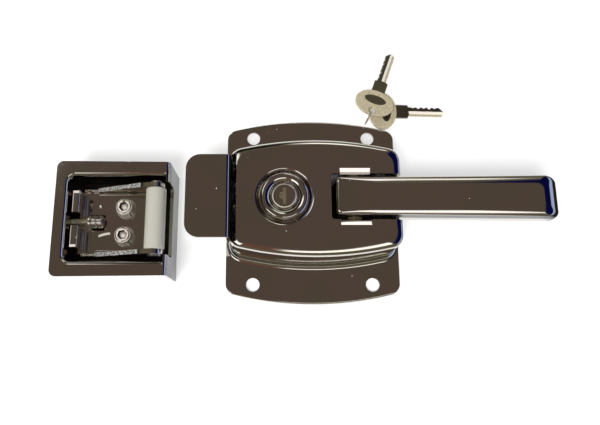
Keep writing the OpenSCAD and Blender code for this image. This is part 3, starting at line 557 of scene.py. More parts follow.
def sheared_material(name, rgb):
    """Torn steel of a sheared edge: bright ridges and black hollows."""
    material, tree, shader, _, grain = grained(name, 1100.0, 0.45, 0.25, 0.6, 0.0008)
    torn = ranged(tree, grain["Height"], 0.0, 1.0, 0.34, 0.58)
    tree.links.new(mixed(tree, torn, (0.02, 0.019, 0.017, 1), (*rgb, 1)), shader["Base Color"])
    tree.links.new(ranged(tree, torn, 1.0, 0.6), shader["Metallic"])
    return material


def nylon_material(name, rgb):
    """Milky nylon that lets some light through."""
    material, tree, shader, place, _ = grained(name, 260.0, 0.36, 0.52, 0.06, 0.0004)
    dull = (*[c * 0.93 for c in rgb], 1)
    tree.links.new(mixed(tree, noise(tree, place, 45.0, 2.0), dull, (*rgb, 1)), shader["Base Color"])
    shader["Subsurface Weight"].default_value = 0.5
    shader["Subsurface Radius"].default_value = (1.0, 0.9, 0.7)
    shader["Subsurface Scale"].default_value = 0.003
    return material


def cast_material(name, rgb, rough):
    """Grainy cast face of the key bows."""
    material, tree, shader, _, grain = grained(name, 900.0, rough - 0.08, rough + 0.12, 0.2, 0.0005)
    dark = (*[c * 0.72 for c in rgb], 1)
    tree.links.new(mixed(tree, grain["Hollows"], dark, (*rgb, 1)), shader["Base Color"])
    shader["Metallic"].default_value = 0.45
    return material


MATERIALS = {}


def make_materials(finish):
    for tree in (specks_group(), scratches_group(), grain_group()):
        GROUPS[tree.name] = tree
    chrome, zinc, nickel = tuple(finish.chrome), tuple(finish.zinc), tuple(finish.nickel)
    MATERIALS.update({
        "chrome": plated("bright_chrome", chrome, 0.05, 170.0, finish),
        "zinc": plated("bright_zinc", zinc, 0.26, 900.0, finish, 0.05, 0.14),
        "polished": plated("polished_zinc", zinc, 0.16, 700.0, finish, 0.03, 0.06),
        # painted highlight: a pale, half metal colour for thin bright lines and rings
        "painted_highlight": plated("painted_highlight_pale", (0.93, 0.88, 0.8), 0.4, 900.0, finish, 0.05, 0.14, 0.6),
        # painted shade: a dull grey that dims what flat side faces mirror
        "panel": plated("painted_shade_grey", (0.30, 0.31, 0.32), 0.42, 300.0, finish, 0.02, 0.1),
        # painted shade: near black for faces inside the case, the pan and the sockets
        "painted_shade": plated("painted_shade_steel", tuple(finish.painted_shade), 0.5, 600.0, finish, 0.08, 0.2),
        "sheared": sheared_material("sheared_steel", (0.92, 0.91, 0.88)),
        "blade": plated("tarnished_blade", tuple(c * 0.3 for c in nickel), 0.38, 900.0, finish, 0.05, 0.1),
        # pale colour for the milled slopes of the blades, and a painted highlight on the rim of each bow
        "milled": plated("milled_blade", (0.95, 0.92, 0.80), 0.3, 900.0, finish, 0.05, 0.1, 0.3),
        "bow": cast_material("nickel_bow", tuple(c * 0.9 for c in nickel), 0.46),
        "brass": plated("bare_brass", tuple(finish.brass), 0.34, 900.0, finish, 0.05, 0.1),
        "amber": nylon_material("amber_washer", (0.06, 0.045, 0.02)),
        "nylon": nylon_material("white_nylon", tuple(finish.nylon)),
    })


# Geometry node trees for what repeats or follows a path

def geometry_tree(name, inputs):
    """A geometry node tree with its own inputs and a material."""
    return new_tree(name, "GeometryNodeTree",
                    {"Geometry": ("Geometry", None), **inputs, "Material": ("Material", None)},
                    {"Geometry": "Geometry"})


def close_tree(tree, geometry, given, out):
    """Ends a tree: smooth shading, real geometry and the material."""
    shaded = add_node(tree, "GeometryNodeSetShadeSmooth", {"Geometry": geometry})
    real = add_node(tree, "GeometryNodeRealizeInstances", {"Geometry": shaded.outputs[0]})
    done = add_node(tree, "GeometryNodeSetMaterial",
                    {"Geometry": real.outputs[0], "Material": given["Material"]})
    tree.links.new(done.outputs[0], out["Geometry"])
    return tree


def circle(tree, sides, radius):
    return add_node(tree, "GeometryNodeCurvePrimitiveCircle",
                    {"Resolution": sides, "Radius": radius}).outputs[0]


def wire_tree():
    """A round wire along the edges of the mesh that it gets."""
    tree, given, out = geometry_tree("wire_along_path", {"Radius": ("Float", 0.0005), "Sides": ("Int", 20)})
    path = add_node(tree, "GeometryNodeMeshToCurve", {"Mesh": given["Geometry"]})
    section = circle(tree, given["Sides"], given["Radius"])
    wire = add_node(tree, "GeometryNodeCurveToMesh",
                    {"Curve": path.outputs[0], "Profile Curve": section, "Fill Caps": True})
    return close_tree(tree, wire.outputs[0], given, out)


def thread_tree():
    """Ridges of a screw thread, one at each point of the line that it gets."""
    tree, given, out = geometry_tree("thread_ridges", {
        "Radius": ("Float", 0.003), "Ridge": ("Float", 0.0005), "Turn": ("Vector", (0.0, 0.0, 0.0))})
    ridge = add_node(tree, "GeometryNodeCurveToMesh", {"Curve": circle(tree, 40, given["Radius"]),
                                                       "Profile Curve": circle(tree, 6, given["Ridge"])})
    turn = add_node(tree, "FunctionNodeEulerToRotation", {"Euler": given["Turn"]})
    placed = add_node(tree, "GeometryNodeInstanceOnPoints",
                      {"Points": given["Geometry"], "Instance": ridge.outputs[0],
                       "Rotation": turn.outputs[0]})
    return close_tree(tree, placed.outputs[0], given, out)


def nick_tree():
    """Rough nicks of a sheared edge, one at each point of the line that it gets."""
    tree, given, out = geometry_tree("sheared_nicks", {
        "Size": ("Vector", (0.0004, 0.002, 0.0004)), "Seed": ("Int", 3)})
    nick = add_node(tree, "GeometryNodeMeshIcoSphere", {"Radius": 0.5, "Subdivisions": 2})
    stretch, turn = [add_node(tree, "FunctionNodeRandomValue", {0: low, 1: high, "Seed": given["Seed"]},
                              data_type="FLOAT_VECTOR").outputs[0]
                     for low, high in (((0.5, 0.35, 0.4), (1.6, 1.0, 1.2)),
                                       ((-0.1, -0.5, -0.7), (0.1, 0.5, 0.7)))]
    placed = add_node(tree, "GeometryNodeInstanceOnPoints",
                      {"Points": given["Geometry"], "Instance": nick.outputs[0], "Rotation": turn,
                       "Scale": vectors(tree, "MULTIPLY", stretch, given["Size"])})
    return close_tree(tree, placed.outputs[0], given, out)


def grown(name, tree, points, values, joined=False):
    """Runs a geometry node tree over points in millimetres and keeps its result as a plain mesh."""
    edges = [(i, i + 1) for i in range(len(points) - 1)] if joined else []
    piece = new_piece(name, points, edges, [])
    run = piece.modifiers.new(name, "NODES")
    run.node_group = tree
    for item in tree.interface.items_tree:
        if item.in_out == "INPUT" and item.name in values:
            run[item.identifier] = values[item.name]
    return settle(piece)


def join(piece, *others):
    """Adds the meshes of other objects to a piece."""
    with edited(piece.data) as bm:
        for other in others:
            bm.from_mesh(other.data)
            bpy.data.objects.remove(other)
    return piece


def mirrored(points):
    """The same outline on the other side of the mid plane, in the same turning sense."""
    return [(-a, b) for a, b in reversed(points)]


# Shared places, in millimetres

PIN = SimpleNamespace(d=5.0, run=0.05, handle=(23.5, 0.0, 30.8), tongue=(-44.1, 0.0, 24.0))
LOCK_X = -18.5
DISH_Z = 35.0
TAIL_X, TAIL_Z, TAIL_T = -4.0, 20.4, 3.0
BAR_Z, BAR_END = 19.1, 10.4
ARM_Y0, ARM_Y1 = 14.102, 17.102
STRIKE = (-86.7, -12.3, 0.0)
AXLE_X, AXLE_DROP = -8.2, 4.0

BLACK, BRIGHT = (0.012, 0.011, 0.010), (1.7, 1.68, 1.62)

# Panels of the room that the chrome mirrors: direction, half width, lowest and highest tilt
# from straight up in degrees, and colour
PANELS = (
    (180, 52, 54, 88, BLACK),
    (110, 20, 46, 72, BLACK),
    (85, 28, 78, 94, (0.55, 0.54, 0.51)),
    (-67.5, 27.5, 26, 37, (1.7, 1.66, 1.58)),
    (-139, 19, 27, 48, BRIGHT),
    (135, 15, 29, 48, (1.5, 1.48, 1.42)),
    (81, 7, 47, 60, BRIGHT),
    (68, 6, 50, 57, BRIGHT),
    (-108, 12, 22, 46, (0.17, 0.08, 0.05)),
    (9, 47, 33, 66, (0.003, 0.004, 0.055)),
    (0, 38, 67, 90, (0.45, 0.56, 0.85)),
)


class LATCH_OT_materials(bpy.types.Operator):
    """Make the chrome, zinc, nickel, brass and nylon finishes"""
    bl_idname = "latch.materials"
    bl_label = "Finishes"

    def execute(self, context):
        make_materials(context.scene.latch_finish)
        return {"FINISHED"}


class LATCH_OT_case(bpy.types.Operator):
    """Build the pressed case with its dish, slot and rolled pivot lips"""
    bl_idname = "latch.case"
    bl_label = "Case"

    def execute(self, context):
        p = in_mm(context.scene.latch_case)
        side_roll, foot_share, tall = 0.12, 0.75, 80

        def flange(z, inset):
            return z, bowed_outline(p.width / 2 - min(inset, side_roll), p.height / 2 - inset, p.bow - inset,
                                    p.corner - inset)

        def dome(z, grow, skin=0.0, share=0.0):
            outline = bowed_outline(p.dome_w / 2 + grow * (foot_share if grow > 0 else 1) - skin,
                                    p.dome_span / 2 + grow - skin, p.dome_bow + grow - skin,
                                    p.dome_corner + grow - skin + p.dome_ease * share)
            return z, [(x, y + p.dome_lean * share) for x, y in outline]

        def edge(skin):
            crown, tight = p.dome_crown - skin, p.dome_edge - skin
            widest = round_over(0.0, crown, tight)[0]
            return [dome(p.dome_h - skin - drop, -p.draft - inset, skin, inset / widest)
                    for inset, drop in (round_over(a, crown, tight) for a in round_turns(EDGE_STEPS))]

        outer = ([flange(0, 0)]
                 + [flange(p.sheet - p.rolled * (1 - sin(a)), p.rolled * (1 - cos(a))) for a in QUARTER]
                 + [dome(p.sheet + p.dome_foot * (1 - cos(a)), p.dome_foot * (1 - sin(a))) for a in QUARTER]
                 + edge(0.0))
        shell = stack("case_shell", outer)
        cut(shell, stack("inside", [dome(-OVER, 0, p.sheet)] + edge(p.sheet)))
        dish_r = p.dish_d / 2
        add(shell, lathe("cup", [(0, DISH_Z - p.sheet), (dish_r + p.sheet, DISH_Z - p.sheet),
                                 (dish_r + p.sheet, DISH_Z + p.sheet / 2), (0, DISH_Z + p.sheet / 2)],
                         (LOCK_X, 0, 0)))
        rim = arc(dish_r + p.dish_rim, p.dome_h - p.dish_rim, p.dish_rim, 180, 90, ROUND_STEPS)
        fillet, bore_d = 1.2, 17.2
        floor_fillet = arc(dish_r - fillet, DISH_Z + fillet, fillet, 270, 360, 8)
        hollow = lathe("dish", [(0, DISH_Z)] + floor_fillet + rim
                       + [(dish_r + p.dish_rim, p.dome_h + OVER), (0, p.dome_h + OVER)], (LOCK_X, 0, 0))
        bore = rod("bore", bore_d, (LOCK_X, 0, 0), "z", DISH_Z - p.sheet - OVER, DISH_Z + OVER)
        slot = prism("slot", bar_outline(p.slot_x, p.width, p.slot_w / 2, p.slot_w / 2, 2.0, 0.5), "z",
                     p.slot_sill, p.dome_h + OVER)
        lip_y = p.slot_w / 2 + p.lip_r
        lip_x0, lip_x1 = PIN.handle[0] - p.lip_len / 2, PIN.handle[0] + p.lip_len / 2
        lips = block("lips", lip_x0, lip_x1, -lip_y, lip_y, p.slot_sill, p.dome_h + OVER)
        opening = prism("opening", gate(p.opening_w / 2, p.opening_sill, tall / 2, 3.0),
                        "x", -p.opening_x - p.width, -p.opening_x)
        holes = [rod("hole", p.hole_d, (sx * p.hole_dx / 2, sy * p.hole_dy / 2, 0),
                     "z", -OVER, p.sheet + OVER) for sx in BOTH for sy in BOTH]
        cut(shell, hollow, bore, slot, lips, opening, *holes)
        bend_z, bite, ear_drop = p.dome_h - p.lip_r, 0.5, 5.0
        ear_y, ear_z = p.slot_w / 2, PIN.handle[2] - ear_drop
        crease = (lip_y - 2.2, p.dome_h - 0.92)
        ear = ([(lip_y + bite, p.dome_h - bite), (lip_y, p.dome_h), crease, (ear_y + 0.1, bend_z + 0.5),
                (ear_y, bend_z), (ear_y, ear_z), (ear_y + p.sheet, ear_z)]
               + arc(lip_y, bend_z, p.lip_r - p.sheet, 180, 90, ROUND_STEPS)
               + [(lip_y + bite, p.dome_h - p.sheet + bite)])
        add(shell, *[prism("ear", side, "x", lip_x0, lip_x1) for side in (ear, mirrored(ear))])
        cut(shell, rod("pin_bore", PIN.d + 0.04, PIN.handle, "y", -lip_y - OVER, lip_y + OVER))
        flatten(shell)
        dress(shell, "chrome", "root", "chrome", "case")
        # Painted shade: faces under the dome and the slot walls below the sill take the near black.
        paint(shell, "painted_shade", lambda c, n: (n.z < -0.2 and c.z > 3)
              or (c.z < p.slot_sill and abs(n.z) < 0.6 and n.x * c.x + n.y * c.y < 0 and c.z > 2.5))
        # Painted highlight: the crease facets of the rolled lips take the pale material.
        paint(shell, "painted_highlight", lambda c, n: lip_x0 < c.x < lip_x1 and ear_y < abs(c.y) < ear_y + 1.2
              and 0.3 < n.z < 0.8 and c.z > bend_z)
        soften(shell, 0.35, angle=20)
        return {"FINISHED"}


class LATCH_OT_handle(bpy.types.Operator):
    """Build the hollow pull handle with its inner tail"""
    bl_idname = "latch.handle"
    bl_label = "Handle"

    def execute(self, context):
        p = in_mm(context.scene.latch_levers)
        case = in_mm(context.scene.latch_case)
        gap, proud = 2.4, 3.0
        x0, full_top = case.slot_x + gap, case.dome_h + proud
        bottom = full_top - p.handle_depth
        inner_crown, taper, end_drop = 0.3, 24.0, 2.0
        inner_r, outer_r = 2.4, 4.0

        def level(drop, inset, skin):
            def fall(r):
                return r - sqrt(max(r * r - (r - drop) ** 2, 0)) if drop < r else 0.0

            w0, w1 = p.handle_w / 2 - skin, p.handle_end_w / 2 - skin
            full = w0 + (w1 - w0) * taper / p.handle_len - inset
            ring = bar_outline(x0 + skin + fall(end_drop), x0 + p.handle_len - skin - fall(p.handle_drop),
                               w0 - inset * inner_crown, w1 - inset, inner_r, outer_r)
            n = CORNER_STEPS + 1
            return full_top - skin - drop, (ring[:n] + [(x0 + taper, full)] + ring[n:3 * n]
                                            + [(x0 + taper, -full)] + ring[3 * n:])

        def levels(skin, low):
            edge = [level(drop, inset, skin) for inset, drop in
                    (round_over(a, p.handle_crown, p.handle_edge) for a in round_turns(EDGE_STEPS))]
            deep = full_top - skin - edge[0][0]
            wall = [level(p.handle_drop + (deep - p.handle_drop) * i / ROUND_STEPS, 0.0, skin)
                    for i in range(ROUND_STEPS)]
            return [(low, wall[0][1])] + wall + edge

        lever = stack("handle_lever", levels(0.0, bottom))
        cut(lever, stack("inside", levels(p.handle_wall, bottom - OVER)))
        hy = p.handle_w / 2 - p.handle_wall
        post_top = full_top - p.handle_wall - 1.0
        add(lever, block("tail", TAIL_X, x0 + p.handle_wall, -hy, hy, TAIL_Z, TAIL_Z + TAIL_T))
        add(lever, block("post", x0 + 0.02, x0 + 2 * p.handle_wall, -hy, hy, TAIL_Z, post_top))
        cut(lever, rod("pin_bore", PIN.d + 2 * PIN.run, PIN.handle, "y", -p.handle_w, p.handle_w))
        flatten(lever)
        dress(lever, "chrome", "handle", "chrome", "handle")
        # Painted shade: the tail and post inside the case take the near black.
        paint(lever, "painted_shade", lambda c, n: c.x < x0 - 0.05)
        # Painted shade: the flat sides of the handle take a dull grey that dims what they mirror.
        paint(lever, "panel", lambda c, n: abs(n.y) > 0.95 and c.x > x0 + taper)
        soften(lever, 0.3)
        return {"FINISHED"}


class LATCH_OT_tongue(bpy.types.Operator):
    """Build the tongue with its bend, hook and inner arms, and its torsion spring"""
    bl_idname = "latch.tongue"
    bl_label = "Tongue"

    def execute(self, context):
        p = in_mm(context.scene.latch_levers)
        top, x0, x1 = 41.0, -76.5, -50.1
        under = top - p.tongue_t
        bend_x, bend_z = x1 - p.tongue_bend, top - p.tongue_bend
        leg_x, foot_z = x1 - p.tongue_t, PIN.tongue[2] - 6
        side = ([(x0, top)] + arc(bend_x, bend_z, p.tongue_bend, 90, 0, 2 * ROUND_STEPS)
                + [(x1, foot_z), (leg_x, foot_z)]
                + arc(bend_x, bend_z, p.tongue_bend - p.tongue_t, 0, 90, ROUND_STEPS) + [(x0, under)])
        hook = prism("tongue_hook", side, "y", -p.tongue_w / 2, p.tongue_w / 2)
        plan = bar_outline(x0, x1 + OVER, p.tongue_w / 2, p.tongue_w / 2, p.tongue_corner, 0.5)
        keep(hook, prism("plan", plan, "z", 0, top + OVER))
        wall_x, wall_t, nose_t, tip, reach = -57.5, 3.5, 5.4, 2.2, 8.0
        nose_z = under - 12.6
        claw = [(wall_x, under + p.tongue_t / 2), (wall_x - wall_t, under + p.tongue_t / 2),
                (wall_x - wall_t, nose_z), (wall_x - wall_t - reach, nose_z),
                (wall_x - wall_t - reach, nose_z - tip), (wall_x - wall_t - tip, nose_z - nose_t),
                (wall_x, nose_z - nose_t)]
        boss = 5.6
        px, pz = PIN.tongue[0], PIN.tongue[2]
        arm = [(leg_x, pz - boss), (px, pz - boss), (TAIL_X - 4, BAR_Z - 2 * TAIL_T),
               (BAR_END, BAR_Z - TAIL_T), (BAR_END, BAR_Z), (TAIL_X - 2, BAR_Z), (px, pz + boss),
               (leg_x, pz + boss)]
        add(hook, prism("claw", claw, "y", -p.hook_w / 2, p.hook_w / 2))
        add(hook, prism("arm", arm, "y", ARM_Y0, ARM_Y1), prism("arm", arm, "y", -ARM_Y1, -ARM_Y0))
        add(hook, block("bar", TAIL_X - 2, BAR_END, -ARM_Y1 + 0.02, ARM_Y1 - 0.02, BAR_Z - TAIL_T, BAR_Z))
        cut(hook, rod("pin_bore", PIN.d + 2 * PIN.run, PIN.tongue, "y", -p.tongue_w, p.tongue_w))
        soften(flatten(hook), 0.45, 4)
        dress(hook, "chrome", "tongue", "chrome", "tongue")
        # Painted shade: the leg, the inner arms and the right face of the bend, inside the case opening, take
        # the near black.
        paint(hook, "painted_shade", lambda c, n: n.x > -0.5 and ((c.x > leg_x - 0.1 and c.z < pz + 2 * boss)
                                                        or (c.x > bend_x and n.x > 0.66)))
        self.spring(px, pz)
        return {"FINISHED"}

    def spring(self, px, pz):
        """A torsion spring round the tongue's pin, with two upright legs."""
        r, turns, pitch, leg, wire = 4.2, 4.5, 1.9, 6.4, 1.4
        half = turns * pitch / 2
        steps, leg_steps = 40, 6
        path = [(-r, -half, leg)] + [(-r, -half, leg * (1 - i / leg_steps)) for i in range(1, leg_steps)]
        path += [(r * cos(a), -half + pitch * i / steps, r * sin(a)) for i, a in
                 ((i, pi - 2 * pi * i / steps) for i in range(int(turns * steps) + 1))]
        path += [(r, half, leg * i / leg_steps) for i in range(1, leg_steps + 1)]
        spring = grown("torsion_spring", wire_tree(), [(x + px, y, z + pz) for x, y, z in path],
                       {"Radius": wire / 2 * MM, "Sides": 18, "Material": MATERIALS["zinc"]}, joined=True)
        dress(smooth(spring), "zinc", "root", "zinc", "tongue_spring")


class LATCH_OT_lock(bpy.types.Operator):
    """Build the lock's flanged body, its convex ring and its plug with the keyway"""
    bl_idname = "latch.lock"
    bl_label = "Lock"

    def execute(self, context):
        centre = (LOCK_X, 0, 0)
        end, face = 12.0, 39.5
        bore_r, body_r, flange_r = 7.2, 8.5, 13.7
        flange_z, body_z = DISH_Z + 1.0, DISH_Z + 4.0
        body = lathe("lock_body", [(bore_r, end), (body_r, end), (body_r, DISH_Z), (flange_r, DISH_Z),
                                   (flange_r, flange_z), (body_r, flange_z), (body_r, body_z),
                                   (bore_r, body_z)], centre)
        soften(body, 0.3)
        dress(body, "chrome", "root", "zinc", "lock_cylinder")
        r0, r1, z0, top = 8.6, 14.2, flange_z, 40.2
        crown, shoulder, fall = 12.4, 1.9, 4.6
        steps = 2 * ROUND_STEPS
        outer = [(crown + shoulder * sin(a), top - shoulder * (1 - cos(a)))
                 for a in (radians(70) * (1 - i / steps) for i in range(steps))]
        inner = [(crown - fall * sin(a), top - fall * (1 - cos(a)))
                 for a in (radians(54) * i / steps for i in range(steps + 1))]
        ring = lathe("lock_ring", [(r0, z0), (r1, z0)] + outer + inner, centre)
        dress(soften(ring, 0.2, 3, 40), "chrome", "root", "chrome", "lock_bezel")
        plug_r, tail_r, tail_z = 7.15, 2.8, end - 2.4
        rim = [(plug_r, face - 0.5), (6.65, face), (6.5, face), (6.35, face - 0.12), (6.2, face)]
        plug = lathe("lock_barrel", [(0, tail_z), (tail_r, tail_z), (tail_r, end), (plug_r, end)]
                     + rim + [(0, face)], centre)
        deep, way, way_len, groove_d, play = face - 20.0, 1.1, 5.0, 4.4, 0.05
        groove_at = (LOCK_X - way, 0, 0)
        cut(plug, block("keyway", LOCK_X - way, LOCK_X + way, -way_len, way_len, deep, face + OVER),
            rod("side_groove", groove_d, groove_at, "z", deep, face + OVER, 40),
            rod("cam_bore", 3.04, centre, "z", tail_z - OVER, end + 2.6))
        flatten(plug)

        def from_axis(c):
            return (c - Vector(centre)).xy.length

        dress(plug, "chrome", "lock_plug", "nickel", "lock_plug")
        paint(plug, "brass", lambda c, n: from_axis(c) < 5.6 and deep - 1 < c.z < face - 0.3)
        # Painted highlight: a pale chamfer ring round the plug face.
        paint(plug, "painted_highlight", lambda c, n: from_axis(c) > 6.7 and c.z > face - 0.45)
        soften(plug, 0)
        shutter = block("keyway_shutter", LOCK_X - way + play, LOCK_X + way - play,
                        -way_len + 2 * play, way_len - 2 * play, face - 2.4, face - 0.7)
        add(shutter, rod("groove_floor", groove_d - 2 * play, groove_at, "z", face - 2.2, face - 1.2, 40))
        dress(soften(flatten(shutter), 0.15), "brass", "lock_plug", "nickel")
        return {"FINISHED"}


class LATCH_OT_strike(bpy.types.Operator):
    """Build the strike pan, the roller carriage with its sheared cheeks, and the roller"""
    bl_idname = "latch.strike"
    bl_label = "Strike"

    def execute(self, context):
        p = in_mm(context.scene.latch_strike)
        pan_x0, pan_hy = -p.long + p.brim_end, p.wide / 2 - p.brim_side
        pan_z, panel_hy = p.high - p.pan_depth, p.wide / 2 - 0.6
        self.pan(p, pan_x0, pan_hy, pan_z, panel_hy)
        self.carriage(p, pan_x0, pan_z)
        h, r, axle, edge = p.roller_len / 2, p.roller_d / 2, 3.05, 1.1
        outline = ([(axle, -h)] + arc(r - edge, edge - h, edge, -90, 0, 8)
                   + arc(r - edge, h - edge, edge, 0, 90, 8) + [(axle, h)])
        middle = (STRIKE[0] + AXLE_X, STRIKE[1], p.high - AXLE_DROP)
        roller = smooth(lathe("roller_sleeve", outline, middle, "y"))
        dress(roller, "nylon", "roller", "nylon", "roller")
        return {"FINISHED"}

    def pan(self, p, pan_x0, pan_hy, pan_z, panel_hy):
        corner_r, front_r, floor_r, fold = 4, 0.2, 1.0, 2.6

        def level(z, grow):
            return z, bar_outline(pan_x0 - grow, -p.sheet, pan_hy + grow, pan_hy + grow, corner_r + grow, 1)

        hollow = ([level(pan_z + floor_r * (1 - cos(a)), floor_r * (sin(a) - 1)) for a in QUARTER]
                  + [level(p.high - p.pan_rim * (1 - sin(a)), p.pan_rim * (1 - cos(a))) for a in QUARTER]
                  + [level(p.high + OVER, p.pan_rim)])
        pan = prism("strike_pan", bar_outline(-p.long, 0, p.wide / 2, panel_hy, corner_r, front_r),
                    "z", p.high - p.sheet, p.high)
        add(pan, prism("tub", bar_outline(pan_x0 - p.sheet, 0, pan_hy + p.sheet, pan_hy + p.sheet,
                                          corner_r + p.sheet, front_r),
                       "z", pan_z - p.sheet, p.high - p.sheet / 2))
        add(pan, block("panel", -p.sheet, 0, -panel_hy, panel_hy, 0, p.high - 0.01))
        notch = prism("notch", gate(p.notch_w / 2, p.high - p.notch_depth, 30, 3.0),
                      "x", -p.sheet - p.pan_rim, OVER)
        corner = ([(-fold, p.high + OVER), (-fold, p.high)]
                  + arc(-fold, p.high - fold, fold, 90, 0, ROUND_STEPS)[1:]
                  + [(OVER, p.high - fold), (OVER, p.high + OVER)])
        holes = [rod("hole", 6.4, (-p.clamp_dx, s * p.clamp_dy / 2, 0),
                     "z", pan_z - p.sheet - OVER, pan_z + OVER) for s in BOTH]
        cut(pan, stack("hollow", hollow), notch, prism("fold", corner, "y", -p.wide, p.wide), *holes,
            rod("adjuster_bore", 5.1, (0, 0, pan_z + 5.4), "x", pan_x0 - 2 * p.sheet, pan_x0 + 1.0))
        shift(pan, *STRIKE)
        flatten(pan)
        dress(pan, "chrome", "root", "chrome", "strike_tray")
        # Painted shade: the floor of the pan takes the near black.
        paint(pan, "painted_shade", lambda c, n: c.z < pan_z + 0.9 and c.x < STRIKE[0] - p.sheet - 0.1)
        # Painted shade: the front face of the panel takes a dull grey that dims what it mirrors.
        paint(pan, "panel", lambda c, n: n.x > 0.95 and c.x > STRIKE[0] - 0.1)
        soften(pan, 0.3)

    def carriage(self, p, pan_x0, pan_z):
        base_z = pan_z + 0.1
        top = base_z + p.plate
        cheek_y0 = p.roller_len / 2 + 0.3
        cheek_y1 = cheek_y0 + p.plate
        tab_x0, base_x1 = pan_x0 + 3.3, -p.sheet - 2.6
        axle_z, seat = p.high - AXLE_DROP, 5.0
        toe_x, rise_x = tab_x0 + 11.0, AXLE_X - 9.0
        toe, rise = (toe_x, top + 2.5), (rise_x, axle_z + seat - 2)
        side = ([(toe_x, base_z), (base_x1, base_z), (base_x1, p.high - p.notch_depth + 3.0)]
                + arc(AXLE_X, axle_z, seat, 0, 90, ROUND_STEPS) + [rise, toe])
        plate = block("carriage_plate", tab_x0, base_x1, 2 - cheek_y1, cheek_y1 - 2, base_z, top)
        bend = 1.8
        fillet = ([(cheek_y0 + 0.4, top - 0.4), (cheek_y0 + 0.4, top + bend)]
                  + arc(cheek_y0 - bend, top + bend, bend, 0, -90, 8) + [(cheek_y0 - bend, top - 0.4)])
        lip_top, lip_mid = top + 2.2, (cheek_y0 + cheek_y1) / 2
        lip = ([(cheek_y0 - 0.2, base_z + 0.02)] + arc(lip_mid, lip_top - 1.25, 1.25, 180, 0, ROUND_STEPS)
               + [(cheek_y1 - 0.02, base_z + 0.02)])
        tab_top, back, stem, tab_r = base_z + 16.0, tab_x0 - 1.0, tab_x0 + p.plate, 1.2
        tab = ([(tab_x0, base_z), (tab_x0, tab_top - 3.2), (back, tab_top - 2.2)]
               + arc(back + tab_r, tab_top - tab_r, tab_r, 180, 90, 8)
               + arc(stem - 0.2, tab_top - tab_r, tab_r, 90, 0, 8)
               + [(stem + 1.0, tab_top - 2.0), (stem, tab_top - 3.4)]
               + arc(stem + bend, top + bend, bend, 180, 270, 8) + [(stem + bend, base_z)])
        for s in (1, -1):
            add(plate, prism("cheek", side, "y", *sorted((s * cheek_y0, s * cheek_y1))))
            add(plate, prism("side_lip", lip if s > 0 else mirrored(lip), "x", tab_x0 + 2.6, toe_x + 0.4))
            add(plate, prism("bend", fillet if s > 0 else mirrored(fillet), "x", toe_x, base_x1 - 0.02))
            add(plate, prism("tab", tab, "y", *sorted((s * 4.0, s * 17.0))))
            # raised tab ends that carry a painted highlight
            add(plate, block("tab_end", back + 0.5, stem + 0.5, *sorted((s * 15.5, s * 16.98)),
                             tab_top - 0.4, tab_top + 0.15))
        adjust_x = stem + 4.6
        slots = [prism("slot", [(x - p.clamp_dx, y + s * p.clamp_dy / 2) for x, y in
                                bar_outline(-5.5, 5.5, 3.3, 3.3, 3.29, 3.29)], "z", base_z - OVER, top + OVER)
                 for s in BOTH]
        window = prism("window", bar_outline(adjust_x - 0.1, adjust_x + 8.6, 4.9, 4.9, 0.8, 0.8), "z",
                       base_z - OVER, top + OVER)
        cut(plate, *slots, window,
            rod("axle_bore", 6.04, (AXLE_X, 0, axle_z), "y", -cheek_y1 - OVER, cheek_y1 + OVER))
        burr_len, burr_at, burr_turn = 3.9, Vector((-41.4, -7.6, top - 0.1)), radians(14)
        flap = prism("burr", [(x * burr_len, z) for x, z in arc(0, 0, 1.0, 0, 180, 16)], "y", -0.8, 0.8)
        flap.data.transform(Matrix.Translation(burr_at * MM) @ Matrix.Rotation(burr_turn, 4, "Z")
                            @ Matrix.Rotation(-burr_turn, 4, "X"))
        pip_r, pip_at = 1.2, (-44.6, 10.2, 0)
        pip = lathe("pip", [(0, top - 0.3), (1.3, top - 0.3)] + arc(0, top, pip_r, 0, 80, 8)
                    + [(0, top + pip_r)], pip_at, steps=32)
        add(plate, flap, pip)
        shift(plate, *STRIKE)
        flatten(plate)
        dress(plate, "chrome", "carriage", "chrome", "roller_carriage")
        sheared_x = STRIKE[0] + rise_x - 3.0
        paint(plate, "sheared", lambda c, n: n.x < -0.2 and n.z > 0.6 and c.x < sheared_x
              and abs(c.y - STRIKE[1]) > cheek_y0 - 0.1)
        # Painted highlight: the top faces of the burr and the pip take the pale material.
        paint(plate, "painted_highlight", lambda c, n: c.z > top + 0.02 and abs(c.x - STRIKE[0] + 42.5) < 4.6
              and 6.0 < abs(c.y - STRIKE[1]) < 12.0 and n.z > 0.8)
        # Painted highlight: the backs of the tabs and the raised tab ends take the pale material.
        paint(plate, "painted_highlight", lambda c, n: c.x < STRIKE[0] + stem + 0.6 and c.z > tab_top - 2.4
              and (n.x < -0.3 or c.z > tab_top + 0.02))
        soften(plate, 0.4, 4)
        nicks = []
        steps = 44
        for s in (1, -1):
            for i in range(1, steps):
                f = i / steps
                y = s * (cheek_y0 + p.plate * (0.36 + 0.28 * (i % 2)))
                nicks.append((toe[0] + (rise[0] - toe[0]) * f + STRIKE[0], y + STRIKE[1],
                              toe[1] + (rise[1] - toe[1]) * f - 0.04))
        rough = grown("sheared_edges", nick_tree(), nicks,
                      {"Size": Vector((0.75, 1.5, 0.45)) * MM, "Seed": 5, "Material": MATERIALS["sheared"]})
        dress(rough, "sheared", "carriage", "chrome")


